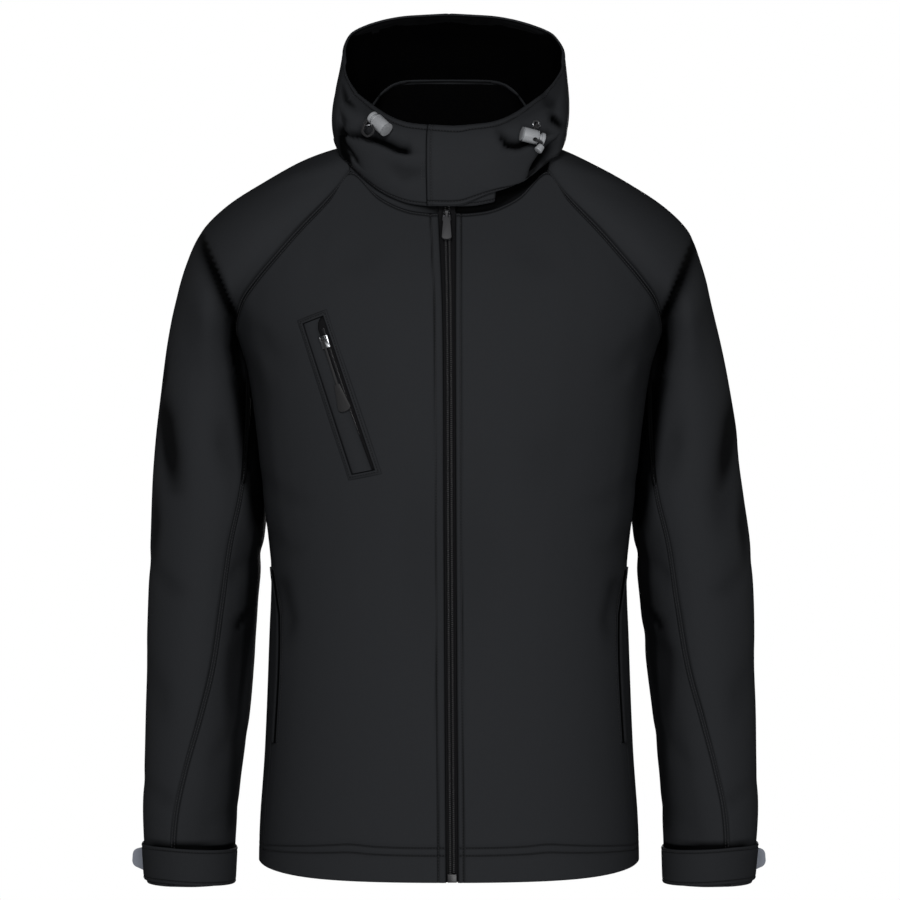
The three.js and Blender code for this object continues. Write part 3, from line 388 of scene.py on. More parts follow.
def fold(p, line, depth, width, sharp=None, dark=None):
    """Trough (or, with a minus, a ridge) along a short line of (x, height, share of depth).

    With sharp, the side to the left of the line's own direction falls away that quickly.
    Gives how far the cloth is moved out, and from 0 to 1 how much painted shade the cloth gets along the line:
    dark sets that amount, and a fold of depth 0 is painted shade alone."""
    x, h = p[..., 0], p[..., 2] + ZERO
    best = np.full(x.shape, 1e9)
    share = np.zeros(x.shape)
    left = np.zeros(x.shape, bool)
    for (x0, h0, s0), (x1, h1, s1) in zip(line, line[1:]):
        dx, dh = x1 - x0, h1 - h0
        t = np.clip(((x - x0) * dx + (h - h0) * dh) / (dx * dx + dh * dh), 0, 1)
        d = np.hypot(x - x0 - t * dx, h - h0 - t * dh)
        nearer = d < best
        best = np.where(nearer, d, best)
        share = np.where(nearer, s0 + (s1 - s0) * t, share)
        left = np.where(nearer, dx * (h - h0) - dh * (x - x0) > 0, left)
    reach = np.where(left, sharp or width, width)
    near = share * np.exp(-(best / reach) ** (1.5 if sharp else 2))
    # Painted shade: the colour darkens along the line, by the trough's depth or by dark.
    if dark is None:
        dark = min(max(depth, 0) / 9, 1) * (0.9 if sharp else 0.5)
    core = reach * (0.55 if sharp else 0.8)
    return -depth * near, dark * np.clip(1.5 * share * np.exp(-(best / core) ** 2), 0, 1)


def set_uv(mesh, uv):
    """Give every corner of a mesh the place of its point on the flat cloth, in m."""
    corner = np.zeros(len(mesh.loops), int)
    mesh.loops.foreach_get("vertex_index", corner)
    mesh.uv_layers[0].data.foreach_set("uv", uv[corner].ravel())


def set_painted_shade(mesh, values):
    """Say for each point how much painted shade it gets in a fold, a seam or a stitch groove: the shell cloth's
    colour darkens there towards black.
    """
    mesh.attributes.new("deep", "FLOAT", "POINT").data.foreach_set("value", values)


def grid_object(name, p):
    """A flat grid with a point for each place in p, in mm; and the row and column of each point."""
    rows, columns = p.shape[:2]
    bpy.ops.object.select_all(action="DESELECT")
    bpy.ops.mesh.primitive_grid_add(x_subdivisions=columns - 1, y_subdivisions=rows - 1, size=1)
    o = bpy.context.object
    o.name = o.data.name = name
    flat = np.zeros(rows * columns * 3)
    o.data.vertices.foreach_get("co", flat)
    flat = flat.reshape(-1, 3)
    col = np.rint((flat[:, 0] + 0.5) * (columns - 1)).astype(int)
    row = np.rint((flat[:, 1] + 0.5) * (rows - 1)).astype(int)
    o.data.vertices.foreach_set("co", (p[row, col] / 1000).ravel())
    return o, row, col


def smooth(mesh):
    mesh.polygons.foreach_set("use_smooth", [True] * len(mesh.polygons))


def thicken(o, thick, **more):
    """Turn a sheet into a wall that grows inwards, in m."""
    wall = o.modifiers.new("wall", "SOLIDIFY")
    wall.thickness = thick
    wall.offset = -1
    wall.use_even_offset = False
    for key, value in more.items():
        setattr(wall, key, value)
    bpy.ops.object.modifier_apply(modifier="wall")


def cloth(name, coarse, us, vs, outward, folds=(), grooves=None, turned=None, joined="", turn=0.9, thick=CLOTH,
          back_of_hem=None, tall=None):
    """A thin wall of cloth: a grid laid through the piece's own rows, with its folds pressed in.

    grooves are the stitch lines by edge (b, t, l, r), in mm in from it, and turned the hems.
    joined are the edges sewn to another piece: they run on under it by the seam's own allowance.
    turn is how far the edges roll in, back_of_hem the cloth inside a hem, and tall the height in
    mm by which the lines of the lower hem are measured."""
    p = np.einsum("ui,ijk->ujk", weights(coarse.shape[0], us), coarse)
    p = np.einsum("vj,ujk->uvk", weights(coarse.shape[1], vs), p)
    n = grid_normals(p, outward(p))
    front = 1 / (1 + np.exp((n[..., 1] - 0.25) * 9))
    press, back, deep = np.zeros((3, *p.shape[:2]))
    for line, depth, width, where, *more in folds:
        out, dark = fold(p, line, depth, width, *more)
        side = {"front": front, "in": front, "back": 1 - front, "": 1.0}[where]
        # Painted shade of each fold, on the side where the fold acts.
        deep = np.maximum(deep, dark * side)
        if where == "in":
            back -= out * side
        else:
            press += out * side
    along_u = np.zeros(p.shape[:2])
    along_u[1:] = np.cumsum(np.linalg.norm(np.diff(p, axis=0), axis=2), axis=0)
    along_v = np.zeros(p.shape[:2])
    along_v[:, 1:] = np.cumsum(np.linalg.norm(np.diff(p, axis=1), axis=2), axis=1)
    inset = {"b": along_u, "t": along_u[-1] - along_u, "l": along_v, "r": along_v[:, -1:] - along_v}
    if tall:
        inset["b"] = np.repeat((np.asarray(us) * tall)[:, None], p.shape[1], axis=1)
    nearest = np.minimum.reduce(list(inset.values()))
    rise = press * (1 - np.exp(-(nearest / CALM) ** 2))
    back *= 1 - np.exp(-(nearest / (0.01 + 3 * np.clip((p[..., 2] + ZERO - 540) / 20, 0, 1))) ** 2)
    # Edges roll in, stitch rows press grooves, and the grooves, the sewn edges and the left edges darken as
    # painted shade.
    for edge, d in inset.items():
        rise -= turn * np.exp(-(d / 1.3) ** 2)
        for q in (grooves or {}).get(edge, ()):
            rise -= 0.6 * np.exp(-((d - q) / 0.9) ** 2)
            rise += 0.3 * np.exp(-((d - q * 0.5) / 1.2) ** 2) * (q < 12)
            deep = np.maximum(deep, 0.75 * np.exp(-((d - q) / 0.8) ** 2))
        if edge in joined or edge == "l":
            deep = np.maximum(deep, 0.95 * np.exp(-(d / 1.0) ** 2))
    p = p + n * rise[..., None]
    p[..., 1] += back
    for edge in joined:
        rows_first = p if edge in "bt" else p.transpose(1, 0, 2)
        rows_first = rows_first if edge in "bl" else rows_first[::-1]
        past = rows_first[0] - rows_first[3]
        past /= np.maximum(np.linalg.norm(past, axis=1, keepdims=True), 1e-6)
        for k, share in enumerate((1.0, 0.8, 0.4)):
            rows_first[k] += past * 1.1 * share
    rows, columns = p.shape[:2]
    o, row, col = grid_object(name, p)
    set_uv(o.data, np.stack([along_v[row, col], along_u[row, col]], axis=1) / 1000)
    set_painted_shade(o.data, np.clip(deep, 0, 1)[row, col])
    o.data.update()
    first = o.data.polygons[(rows // 2) * (columns - 1) + columns // 2]
    v = first.vertices[0]
    if first.normal.dot(Vector(n[row[v], col[v]])) < 0:
        o.data.flip_normals()
    hem = np.zeros(rows * columns, bool)
    for edge, wide in (turned or {}).items():
        hem |= (inset[edge] < wide)[row, col]
    faces = len(o.data.polygons)
    turned_in = [all(hem[i] for i in f.vertices) for f in o.data.polygons]
    o.data.materials.clear()
    for mat in (softshell, fleece_in_painted_shade, back_of_hem or softshell):
        o.data.materials.append(mat)
    thicken(o, thick, use_quality_normals=True, material_offset=1)
    slots = np.zeros(len(o.data.polygons), int)
    slots[faces:2 * faces] = 1 + np.array(turned_in, int)
    o.data.polygons.foreach_set("material_index", slots)
    smooth(o.data)
    areas = np.zeros(len(o.data.polygons))
    o.data.polygons.foreach_get("area", areas)
    o["cut_area"] = float(areas[:faces].sum())
    return o, p, n


def edge_line(p, n, edge, inset):
    """The line that runs a distance inside one edge of a cloth grid, with the way out of the cloth."""
    if edge in "tb":
        p, n = p.transpose(1, 0, 2), n.transpose(1, 0, 2)
    if edge in "rt":
        p, n = p[:, ::-1], n[:, ::-1]
    line, ways = [], []
    for places, outs in zip(p, n):
        d = np.concatenate([[0], np.cumsum(np.linalg.norm(np.diff(places, axis=0), axis=1))])
        line.append([np.interp(inset, d, places[:, k]) for k in range(3)])
        ways.append([np.interp(inset, d, outs[:, k]) for k in range(3)])
    return np.array(line), np.array(ways)


def row_line(p, n, us, at):
    """The line along the row of a cloth grid that lies nearest to a share of its height."""
    row = int(np.argmin(np.abs(us - at)))
    return p[row], n[row]


def part_of(run, keep):
    """The longest stretch of a line where keep(x, y) holds."""
    line, ways = run
    good = [bool(keep(q[0], q[1])) for q in line]
    best, start = (0, 0), None
    for i, g in enumerate(good + [False]):
        if g and start is None:
            start = i
        if not g and start is not None:
            if i - start > best[1] - best[0]:
                best = (start, i)
            start = None
    return line[best[0]:best[1]], ways[best[0]:best[1]]


thread = patterned(
    ("sewing_thread", (0.010, 0.010, 0.012), 0.48), ((0.007, 0.007, 0.008), (0.018, 0.018, 0.020)), 0.3, 0.0001,
    Scale=2400.0, Detail=1.0)


def repeated(name, one, spots, mat):
    """Many copies of one small mesh in a single object; each spot is a place, along, across and up."""
    shape = np.zeros(len(one.data.vertices) * 3)
    one.data.vertices.foreach_get("co", shape)
    shape = shape.reshape(-1, 3)
    faces = [list(f.vertices) for f in one.data.polygons]
    points, sides = [], []
    for k, (place_at, forth, across, up) in enumerate(spots):
        points.append(place_at + shape @ np.array([forth, across, up]))
        sides += [[i + k * len(shape) for i in f] for f in faces]
    mesh = bpy.data.meshes.new(name)
    mesh.from_pydata((np.concatenate(points) / 1000).tolist(), [], sides)
    smooth(mesh)
    mesh.materials.append(mat)
    o = bpy.data.objects.new(name, mesh)
    bpy.context.collection.objects.link(o)
    return o


def along_run(line, ways, pitch, lift=0.0):
    """Even spots along a line in mm, each with its own way forth, across and out."""
    line, ways = np.asarray(line, float), np.asarray(ways, float)
    d = np.concatenate([[0], np.cumsum(np.linalg.norm(np.diff(line, axis=0), axis=1))])
    spots = []
    for at in np.arange(pitch / 2, d[-1] - pitch / 4, pitch):
        q = np.array([np.interp(at, d, line[:, k]) for k in range(3)])
        ahead = np.array([np.interp(min(at + 1, d[-1]), d, line[:, k]) for k in range(3)])
        behind = np.array([np.interp(max(at - 1, 0), d, line[:, k]) for k in range(3)])
        up = np.array([np.interp(at, d, ways[:, k]) for k in range(3)])
        forth = ahead - behind
        forth /= np.linalg.norm(forth)
        up -= forth * (up @ forth)
        up /= np.linalg.norm(up)
        spots.append((q + up * lift, forth, np.cross(up, forth), up))
    return spots


bpy.ops.mesh.primitive_uv_sphere_add(segments=4, ring_count=3, radius=1)
one_stitch = bpy.context.object
bpy.ops.transform.resize(value=(1.25, 0.30, 0.30))
bpy.ops.object.transform_apply(location=False, rotation=False, scale=True)


def topstitch(name, runs, pitch=3.0):
    """Lockstitch in black thread along each run, one mesh."""
    spots = [q for line, ways in runs if len(line) > 1 for q in along_run(line, ways, pitch, 0.05)]
    o = repeated(name, one_stitch, spots, thread)
    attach(o, "garment")
    return o


def away_from(x, y):
    return lambda p: np.stack([p[..., 0] - x, p[..., 1] - y, np.zeros(p.shape[:2])], axis=2)


def sewn(o, node_name):
    """A cloth piece in place of its CAD node, declared with the flat size it was cut to."""
    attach(o, "garment")
    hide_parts(node_name)


def mirrored(folds):
    return [([(-x, h, s) for x, h, s in line[::-1]], *how) for line, *how in folds]


# Creases of the fronts; each trough also darkens the cloth as painted shade.
front_folds = [
    ([(-203, 566, 0.4), (-186, 545, 1.0), (-160, 520, 0.2)], 2.2, 12, "front"),
    ([(-196, 520, 0.6), (-182, 490, 1.0), (-170, 452, 0.1)], 1.8, 12, "front"),
    ([(-181, 404, 0.8), (-160, 388, 1.0), (-128, 380, 0.1)], 1.4, 11, "front"),
    ([(-176, 350, 0.9), (-158, 338, 0.8), (-138, 336, 0.0)], 1.2, 9, "front"),
    ([(-60, 640, 0.1), (-84, 618, 1.0), (-112, 606, 0.2)], 1.0, 15, "front"),
    ([(-166, 300, 1.0), (-158, 268, 1.0), (-160, 240, 0.1)], 3.2, 9, "front"),
    ([(-20, 420, 0.1), (-26, 330, 1.0), (-20, 240, 0.1)], 0.9, 26, "front"),
]
HEM_LINES = [25.0, 32.0]
BODY_TALL = 620
SEAM_STITCH = 2.6
runs = []
for side, word in ((-1, "left"), (1, "right")):
    tops = neck_tops([0, 12, 25, 40], False) + FRONT_SEAM
    coarse = panel(side, tops, 0)
    coarse[0, :, 2] += 7 * (np.abs(coarse[0, :, 0]) / 190) ** 6
    for i in range(coarse.shape[0]):
        h = coarse[i, 0, 2] + ZERO
        edge = along(ZIP_GAP, h, 1) + side * along(ZIP_GAP, h, 2)
        coarse[i, 0] = on_front(edge, h)[0]
        coarse[i, 1, 0] = side * max(abs(coarse[i, 1, 0]), abs(edge) + 10)
    folds = front_folds if side < 0 else mirrored(front_folds[1:]) + [
        ([(206, 560, 0.5), (184, 532, 1.0), (150, 500, 0.1)], 2.6, 13, "front"),
        ([(120, 470, 0.1), (96, 430, 1.0), (90, 380, 0.1)], 0.9, 22, "front")]
    zip_line = 8.0 if side < 0 else 5.5
    up_rows = fine(150, BODY_TALL, HEM_LINES, [SEAM_STITCH])
    o, p, n = cloth(
        "front_shell_" + word, coarse, up_rows, fine(84, 250, [zip_line]), away_from(0, 0),
        folds, {"b": HEM_LINES, "t": [SEAM_STITCH], "l": [zip_line]}, {"b": 34}, "tr", tall=BODY_TALL)
    sewn(o, "front_" + word)
    runs += [row_line(p, n, up_rows, q / BODY_TALL) for q in HEM_LINES]
    runs += [edge_line(p, n, "t", SEAM_STITCH), edge_line(p, n, "l", zip_line)]

tops = neck_tops([180, 168, 156, 145], True) + BACK_SEAM
left, right = panel(-1, tops, 180), panel(1, tops, 180)
coarse = np.concatenate([left[:, ::-1], right[:, 1:]], axis=1)
coarse[0, :, 2] += 7 * (np.abs(coarse[0, :, 0]) / 190) ** 6
# Creases of the back; each trough also darkens the cloth as painted shade.
back_folds = [
    ([(-202, 560, 0.5), (-172, 520, 1.0), (-120, 488, 0.1)], 3.0, 14, "back"),
    ([(204, 556, 0.6), (170, 512, 1.0), (126, 470, 0.1)], 3.2, 14, "back"),
    ([(-178, 380, 0.8), (-120, 352, 1.0), (-40, 346, 0.1)], 2.4, 12, "back"),
    ([(178, 366, 0.8), (130, 340, 1.0), (60, 336, 0.1)], 2.2, 12, "back"),
    ([(-172, 330, 0.7), (-110, 306, 1.0), (-60, 308, 0.0)], 1.6, 10, "back"),
    ([(30, 640, 0.1), (60, 560, 1.0), (64, 470, 0.1)], 1.6, 26, "back"),
    ([(-40, 650, 0.1), (-64, 570, 1.0), (-58, 480, 0.1)], 1.4, 24, "back"),
    ([(0, 420, 0.1), (6, 300, 1.0), (0, 160, 0.1)], 1.5, 34, "back"),
]
up_rows = fine(150, BODY_TALL, HEM_LINES, [SEAM_STITCH])
o, back_p, back_n = cloth(
    "back_shell", coarse, up_rows, fine(170, 520), away_from(0, 0), back_folds,
    {"b": HEM_LINES, "t": [SEAM_STITCH]}, {"b": 34}, "tlr", tall=BODY_TALL)
sewn(o, "back")
runs += [row_line(back_p, back_n, up_rows, q / BODY_TALL) for q in HEM_LINES]
runs += [edge_line(back_p, back_n, "t", SEAM_STITCH)]
topstitch("body_stitching", runs)

# Sleeves: each has a raglan upper piece, from the neck over the shoulder to the wrist, and an
# under piece that joins it by two topstitched seams. The elbow is slightly bent and creased.
CAP = [
    # outer line: out, height, y; fullness of the front and back halves; how tube-like the ring is
    (103, 738, 6, 0.5, 0.5, 0.0), (141, 724, 8, 0.52, 0.52, 0.1), (181, 703, 12, 0.54, 0.54, 0.2),
    (218, 679, 18, 0.56, 0.56, 0.3), (245, 652, 25, 0.58, 0.58, 0.42), (261, 618, 31, 0.62, 0.62, 0.58),
    (270, 580, 36, 0.9, 0.8, 0.85), (277, 543, 39, 1.3, 1.2, 1.0)]
SLEEVE = np.array([
    # height, inner line, outer line, middle y, half depth, shares of the half girth at the two seams
    (505, 198.5, 283, 40, 76, 0.1, 0.1), (460, 191, 290, 40, 77, 0.19, 0.17),
    (417, 184.5, 294, 38, 76, 0.256, 0.22),
    (384, 183, 296, 35, 74, 0.294, 0.27), (340, 187, 297, 30, 71, 0.333, 0.32),
    (284, 192, 300, 22, 67, 0.355, 0.35),
    (221, 198, 302, 12, 63, 0.394, 0.37), (171, 204, 303, 5, 60, 0.456, 0.39),
    (119, 209.5, 304, -2, 57, 0.528, 0.4),
    (71, 213, 304, -8, 54, 0.578, 0.41), (5, 215, 301, -15, 50, 0.62, 0.42)], float)
ARM_LINES = np.array([
    # height; how far each arm's outer line, and the left one's inner line, stand out further
    (0, 0, 1, 0), (71, 1, 4, 1.5), (119, 0, 3, 3), (171, 0.5, 4, 4.5), (221, 1.5, 4.5, 2.5), (284, 2.5, 6.5, 0),
    (340, 4, 6.5, 0), (384, 4, 2, 0), (417, 4.5, 0, 0), (460, 5, 0, 0), (505, 6.5, -1, 0), (543, 7, -3, 0),
    (580, 6.5, -4.5, 0), (618, 4.5, -6, 0), (652, 4.5, -3.5, 0), (679, 4, -4, 0), (703, 2, -6, 0),
    (724, 0, -7, 0), (738, 0, 0, 0)], float)


def sleeve_ring(side, row):
    """One section of the sleeve tube: its outer point and both halves as cubic curves."""
    h, inner, outer, mid, deep = row[:5]
    outer += along(ARM_LINES, h, 1 if side < 0 else 2)
    inner -= along(ARM_LINES, h, 3) if side < 0 else 0
    tip, foot = np.array((side * outer, mid, h - ZERO)), np.array((side * inner, mid, h - ZERO))
    halves = []
    for forth in (-1, 1):
        bulge = np.array((0, forth * deep * 4 / 3, 0))
        halves.append((foot, foot + bulge, tip + bulge, tip))
    return halves


def cap_ring(side, k):
    out, h, y, front, back, tube = CAP[k]
    out += along(ARM_LINES, h, 1 if side < 0 else 2)
    tip = np.array((side * out, y, h - ZERO))
    halves = []
    for seam, forth, pull in ((FRONT_SEAM[k], -1, front), (BACK_SEAM[k], 1, back)):
        foot = torso_point(side, seam[1], seam[0])
        reach = abs(tip[1] - foot[1]) + 12
        away = (tip - foot) * (1, 0, 1) * 0.62 * (1 - tube)
        away[1] += forth * tube * 104 * min(pull, 1)
        away[0] += side * tube * 12
        arrive = np.array((0, forth * (0.58 * reach * (1 - tube) + 104 * tube), 0))
        halves.append((foot, foot + away, tip + arrive, tip))
    return halves


def on_ring(ring, half, s):
    a, b, c, d = ring[half]
    return a * (1 - s) ** 3 + b * 3 * s * (1 - s) ** 2 + c * 3 * s * s * (1 - s) + d * s ** 3


# Sleeve creases, each trough darkened as painted shade; those of depth 0 are painted shade alone: the dark band
# between sleeve and body, down the inner arm, and along the top of the cuff strap.
sleeve_folds = [
    ([(-246, 652, 0.3), (-238, 634, 0.9), (-228, 612, 1.0), (-220, 592, 1.0), (-212, 572, 0.9),
      (-206, 552, 0.3)],
     13.0, 17, "in", 2.2, 1.0),
    ([(-199, 396, 0.3), (-202, 422, 0.8), (-202, 444, 1.0), (-204, 469, 1.0), (-208, 489, 1.0),
      (-213, 509, 1.0), (-217, 536, 1.0), (-216, 562, 0.6)], 26.0, 15, "in", 2.6, 1.0),
    ([(-190, 345, 0.5), (-191, 385, 1.0), (-194, 420, 1.0), (-200, 455, 1.0), (-207, 500, 0.8)],
     0, 11, "front", None, 1.0),
    ([(-206, 262, 0.8), (-210, 235, 1.0), (-212, 200, 0.9), (-214, 150, 0.4)], 0, 15, "front", None, 0.6),
    ([(-196, 330, 0.9), (-204, 240, 1.0), (-218, 120, 1.0), (-232, 44, 1.0)], 0, 34, "front", None, 0.22),
    ([(-262, 600, 0.1), (-254, 560, 1.0), (-248, 500, 0.2)], 2.4, 14, "front"),
    ([(-228, 470, 0.1), (-222, 440, 1.0), (-216, 400, 0.1)], 3.0, 12, "front"),
    ([(-108, 716, 0.5), (-150, 702, 1.0), (-186, 688, 0.1)], -2.4, 8, "front"),
    ([(-118, 734, 0.4), (-152, 722, 1.0), (-184, 706, 0.1)], -1.8, 6, "front"),
    ([(-288, 490, 0.3), (-282, 462, 1.0), (-277, 430, 1.0), (-272, 398, 0.3)], 9.0, 11, "in", None, 0.85),
    ([(-294, 395, 0.2), (-293, 360, 1.0), (-296, 320, 0.2)], 5.0, 6, "in", None, 0.6),
    ([(-282, 530, 0.2), (-285, 505, 1.0), (-289, 480, 0.3)], 3.0, 4, "in", None, 0.7),
    ([(-190, 288, 0.8), (-205, 266, 1.0), (-214, 253, 0.4)], 6.0, 10, "in", 6.0, 0.9),
    ([(-204, 244, 0.7), (-212, 220, 1.0), (-216, 180, 0.4), (-220, 120, 0.1)], 5.0, 9, "in", None, 0.6),
    ([(-194, 404, 0.8), (-190, 372, 1.0), (-192, 330, 1.0), (-196, 296, 1.0), (-202, 240, 0.8),
      (-208, 180, 0.6), (-213, 120, 0.5), (-216, 60, 0.4)], 6.0, 7, "in", None, 0.85),
    ([(-196, 380, 0.4), (-200, 340, 1.0), (-206, 310, 0.2)], 3.6, 9, "in"),
    ([(-190, 330, 0.8), (-210, 312, 1.0), (-236, 306, 0.1)], 3.2, 9, "front"),
    ([(-298, 322, 0.5), (-278, 300, 1.0), (-256, 292, 0.1)], 2.4, 10, "front"),
    ([(-301, 228, 0.3), (-288, 196, 1.0), (-280, 160, 0.1)], 2.2, 13, "front"),
    ([(-212, 150, 0.7), (-230, 128, 1.0), (-252, 118, 0.1)], 2.4, 10, "front"),
    ([(-300, 104, 0.5), (-282, 92, 1.0), (-262, 90, 0.1)], 1.8, 9, "front"),
    ([(-302, 46, 0.2), (-286, 45.5, 1.0), (-250, 43.5, 1.0), (-216, 41, 1.0), (-208, 40.5, 1.0)],
     0, 4.4, "front", None, 1.0),
    ([(-216, 78, 0.6), (-236, 62, 1.0), (-256, 58, 0.1)], 1.8, 8, "front"),
    ([(-206, 560, 0.9), (-224, 530, 1.0), (-246, 486, 0.1)], 5.0, 12, "back"),
    ([(-236, 640, 0.2), (-224, 600, 1.0), (-214, 566, 0.5)], 4.0, 12, "back"),
    ([(-192, 330, 0.9), (-222, 316, 1.0), (-262, 312, 0.1)], 4.2, 10, "back"),
    ([(-196, 286, 0.8), (-226, 276, 1.0), (-270, 280, 0.1)], 4.6, 11, "back"),
    ([(-200, 244, 0.8), (-230, 236, 1.0), (-268, 242, 0.1)], 3.0, 10, "back"),
    ([(-214, 110, 0.7), (-244, 96, 1.0), (-280, 96, 0.1)], 2.4, 11, "back"),
]
right_changes = [
    ([(284, 432, 0.3), (272, 388, 1.0), (268, 346, 0.1)], 3.4, 14, "front"),
    ([(198, 250, 0.6), (216, 232, 1.0), (226, 202, 0.1)], 3.0, 10, "front"),
]
UNDER_FROM = 0.015
CUFF_STITCH = 28.0
for side, word in ((-1, "left"), (1, "right")):
    rings = [cap_ring(side, k) for k in range(len(CAP))] + [sleeve_ring(side, row) for row in SLEEVE]
    ends = [(0, 0)] * (len(CAP) - 1) + [(UNDER_FROM, UNDER_FROM)] + [(row[5], row[6]) for row in SLEEVE]
    upper = np.array([
        [on_ring(r, 0, a + (1 - a) * k / 7) for k in range(8)]
        + [on_ring(r, 1, b + (1 - b) * k / 7) for k in range(6, -1, -1)]
        for r, (a, b) in zip(rings, ends)])
    under = np.array([
        [on_ring(r, 0, a * (1 - k / 3)) for k in range(4)] + [on_ring(r, 1, b * k / 3) for k in (1, 2, 3)]
        for r, (a, b) in list(zip(rings, ends))[len(CAP) - 1:]])
    middle = away_from(side * 250, 10)
    stitched = {"l": [SEAM_STITCH], "r": [SEAM_STITCH], "t": [CUFF_STITCH]}
    folds = sleeve_folds if side < 0 else mirrored(sleeve_folds) + right_changes

    def shoulder_out(p):
        return np.stack([p[..., 0] - side * 190, p[..., 1] - 20, np.maximum(p[..., 2] + 330, 0) * 0.5], axis=2)
    o, p, n = cloth(
        "sleeve_upper_shell_" + word, upper, fine(190, 740, [SEAM_STITCH], [CUFF_STITCH]),
        fine(110, 300, [SEAM_STITCH], [SEAM_STITCH]), shoulder_out, folds, stitched, {"t": 30}, "blr")
    sewn(o, "sleeve_upper_" + word)
    o2, p2, n2 = cloth(
        "sleeve_under_shell_" + word, under, fine(130, 540, [], [CUFF_STITCH]),
        fine(46, 130, [SEAM_STITCH], [SEAM_STITCH]), middle, folds, stitched, {"t": 30}, "blr")
    sewn(o2, "sleeve_under_" + word)
    topstitch("sleeve_stitching_" + word, [
        edge_line(*piece, edge, inset)
        for edges, inset in (("lr", SEAM_STITCH), ("t", CUFF_STITCH))
        for piece in ((p, n), (p2, n2)) for edge in edges])

# Hood and collar: the collar stands inside, one piece round the neck. The hood is two pieces
# joined up the middle of the back; its right front laps over the left as the chin flap.
HOOD = np.array([
    # angle; out from the neck and height of four lines the cloth passes on its way to the rim
    (0, 8, 684, 11, 700, 12, 720, 8, 738), (25, 8, 686, 11, 702, 12, 724, 8, 743),
    (45, 9, 700, 12, 716, 13, 736, 8, 755), (62, 10, 718, 14, 732, 15, 750, 9, 768),
    (90, 12, 742, 15, 757, 12.5, 786, 6, 811),
    (105, 14, 740, 17.5, 753, 17, 788, 10, 824), (120, 21, 737, 29, 748, 32, 788, 19, 833),
    (135, 28, 730, 54, 738, 62, 784, 36, 842), (150, 34, 724, 75, 729, 92, 780, 56, 847),
    (165, 37, 722, 85, 726, 107, 778, 69, 849), (180, 38, 722, 88, 726, 112, 778, 74, 850)], float)
RIM = np.array([
    # angle, out, y
    (0, 0, -99), (25, 42, -92), (45, 68, -73), (62, 87, -50), (76, 99, -24), (90, 105, 6), (105, 106, 32),
    (120, 97, 56), (150, 56, 79), (180, 0, 86)], float)
COLLAR = np.array([
    # angle, out, y, height
    (0, 0, -92, 738), (25, 40, -86, 741), (62, 79, -44, 755), (90, 83, 8, 770), (120, 70, 46, 796),
    (135, 57, 59, 807), (150, 42, 66, 811), (180, 0, 70, 812)], float)
FLAP_RISE = np.array([(-13, 1), (0, 1), (12, 1), (25, 1), (40, 0.72), (62, 0.15), (76, 0)], float)
FLAP_LIFT = 3.6


def neck_edge(side):
    """The neck seam of one side, front to back: place, angle and the way out of the neck."""
    edge = []

    def on_panel(angle, back):
        h, a = neck_tops([angle], back)[0]
        q = torso_point(side, a, h)
        if angle == 0:
            q = on_front(along(ZIP_GAP, h, 1) + side * along(ZIP_GAP, h, 2), h)[0]
        edge.append([q, angle])
    for angle in (0, 12, 25, 40):
        on_panel(angle, False)
    ring = cap_ring(side, 0)
    for k in range(8):
        edge.append([on_ring(ring, 0, k / 7), 62 + 28 * k / 7])
    for k in range(6, -1, -1):
        edge.append([on_ring(ring, 1, k / 7), 135 - 45 * k / 7])
    for angle in (145, 156, 168, 180):
        on_panel(angle, True)
    for j, column in enumerate(edge):
        a, b = edge[max(j - 1, 0)][0], edge[min(j + 1, len(edge) - 1)][0]
        out = np.array((b[1] - a[1], a[0] - b[0], 0))
        out /= np.linalg.norm(out)
        column.append(-out if out @ column[0] < 0 else out)
    edge[0][2] = np.array((side * 0.05, -1, 0)) / math.hypot(0.05, 1)
    edge[-1][2] = np.array((0.0, 1.0, 0.0))
    return edge


def collar_column(side, q, angle, out):
    top = np.array((side * max(along(COLLAR, angle, 1), 7 if angle < 5 else 0), along(COLLAR, angle, 2),
                    along(COLLAR, angle, 3) - ZERO))
    foot = q - out * 0.1 + (0, 0, 0.45)
    return [foot + (top - foot) * f - out * math.sin(math.pi * f) for f in (0, 0.3, 0.65, 1)]


left_neck, right_neck = neck_edge(-1), neck_edge(1)
collar_lines = [collar_column(-1, *c) for c in left_neck] + [collar_column(1, *c) for c in right_neck[-2::-1]]
collar_grid = np.array(collar_lines).transpose(1, 0, 2)
collar_folds = [
    ([(-70, 772, 0.3), (-60, 750, 1.0), (-66, 724, 0.3)], 2.0, 10, ""),
    ([(74, 776, 0.3), (66, 752, 1.0), (70, 728, 0.3)], 1.8, 10, ""),
    ([(-20, 800, 0.3), (-16, 770, 1.0), (-22, 744, 0.3)], 1.4, 14, ""),
    # Painted shadow under the hood's lower edge along the collar's foot, and painted shade in the band of the
    # bound top edge.
    ([(-96, 722, 1), (-62, 696, 1), (-35, 679, 1), (0, 667, 1), (10, 668, 1)], 0, 9, "front", None, 0.85),
    ([(10, 668, 0.7), (35, 679, 1), (62, 696, 1), (96, 722, 1)], 0, 24, "front", None, 1.0),
    ([(-85, 762, 1), (-83, 768, 1), (-71, 793, 1), (-57, 804.4, 1), (-42, 808.4, 1), (0, 809.4, 1),
      (42, 808.4, 1), (57, 804.4, 1), (71, 793, 1), (83, 768, 1), (85, 762, 1)], 0, 1.3, "", None, 1.0),
]
o = cloth(
    "collar_shell", collar_grid, fine(30, 75, [], [1.6, 2.6, 3.5]), fine(200, 480), away_from(0, 0),
    collar_folds,
    {"t": [SEAM_STITCH]}, {"t": 5.0})[0]
sewn(o, "collar")


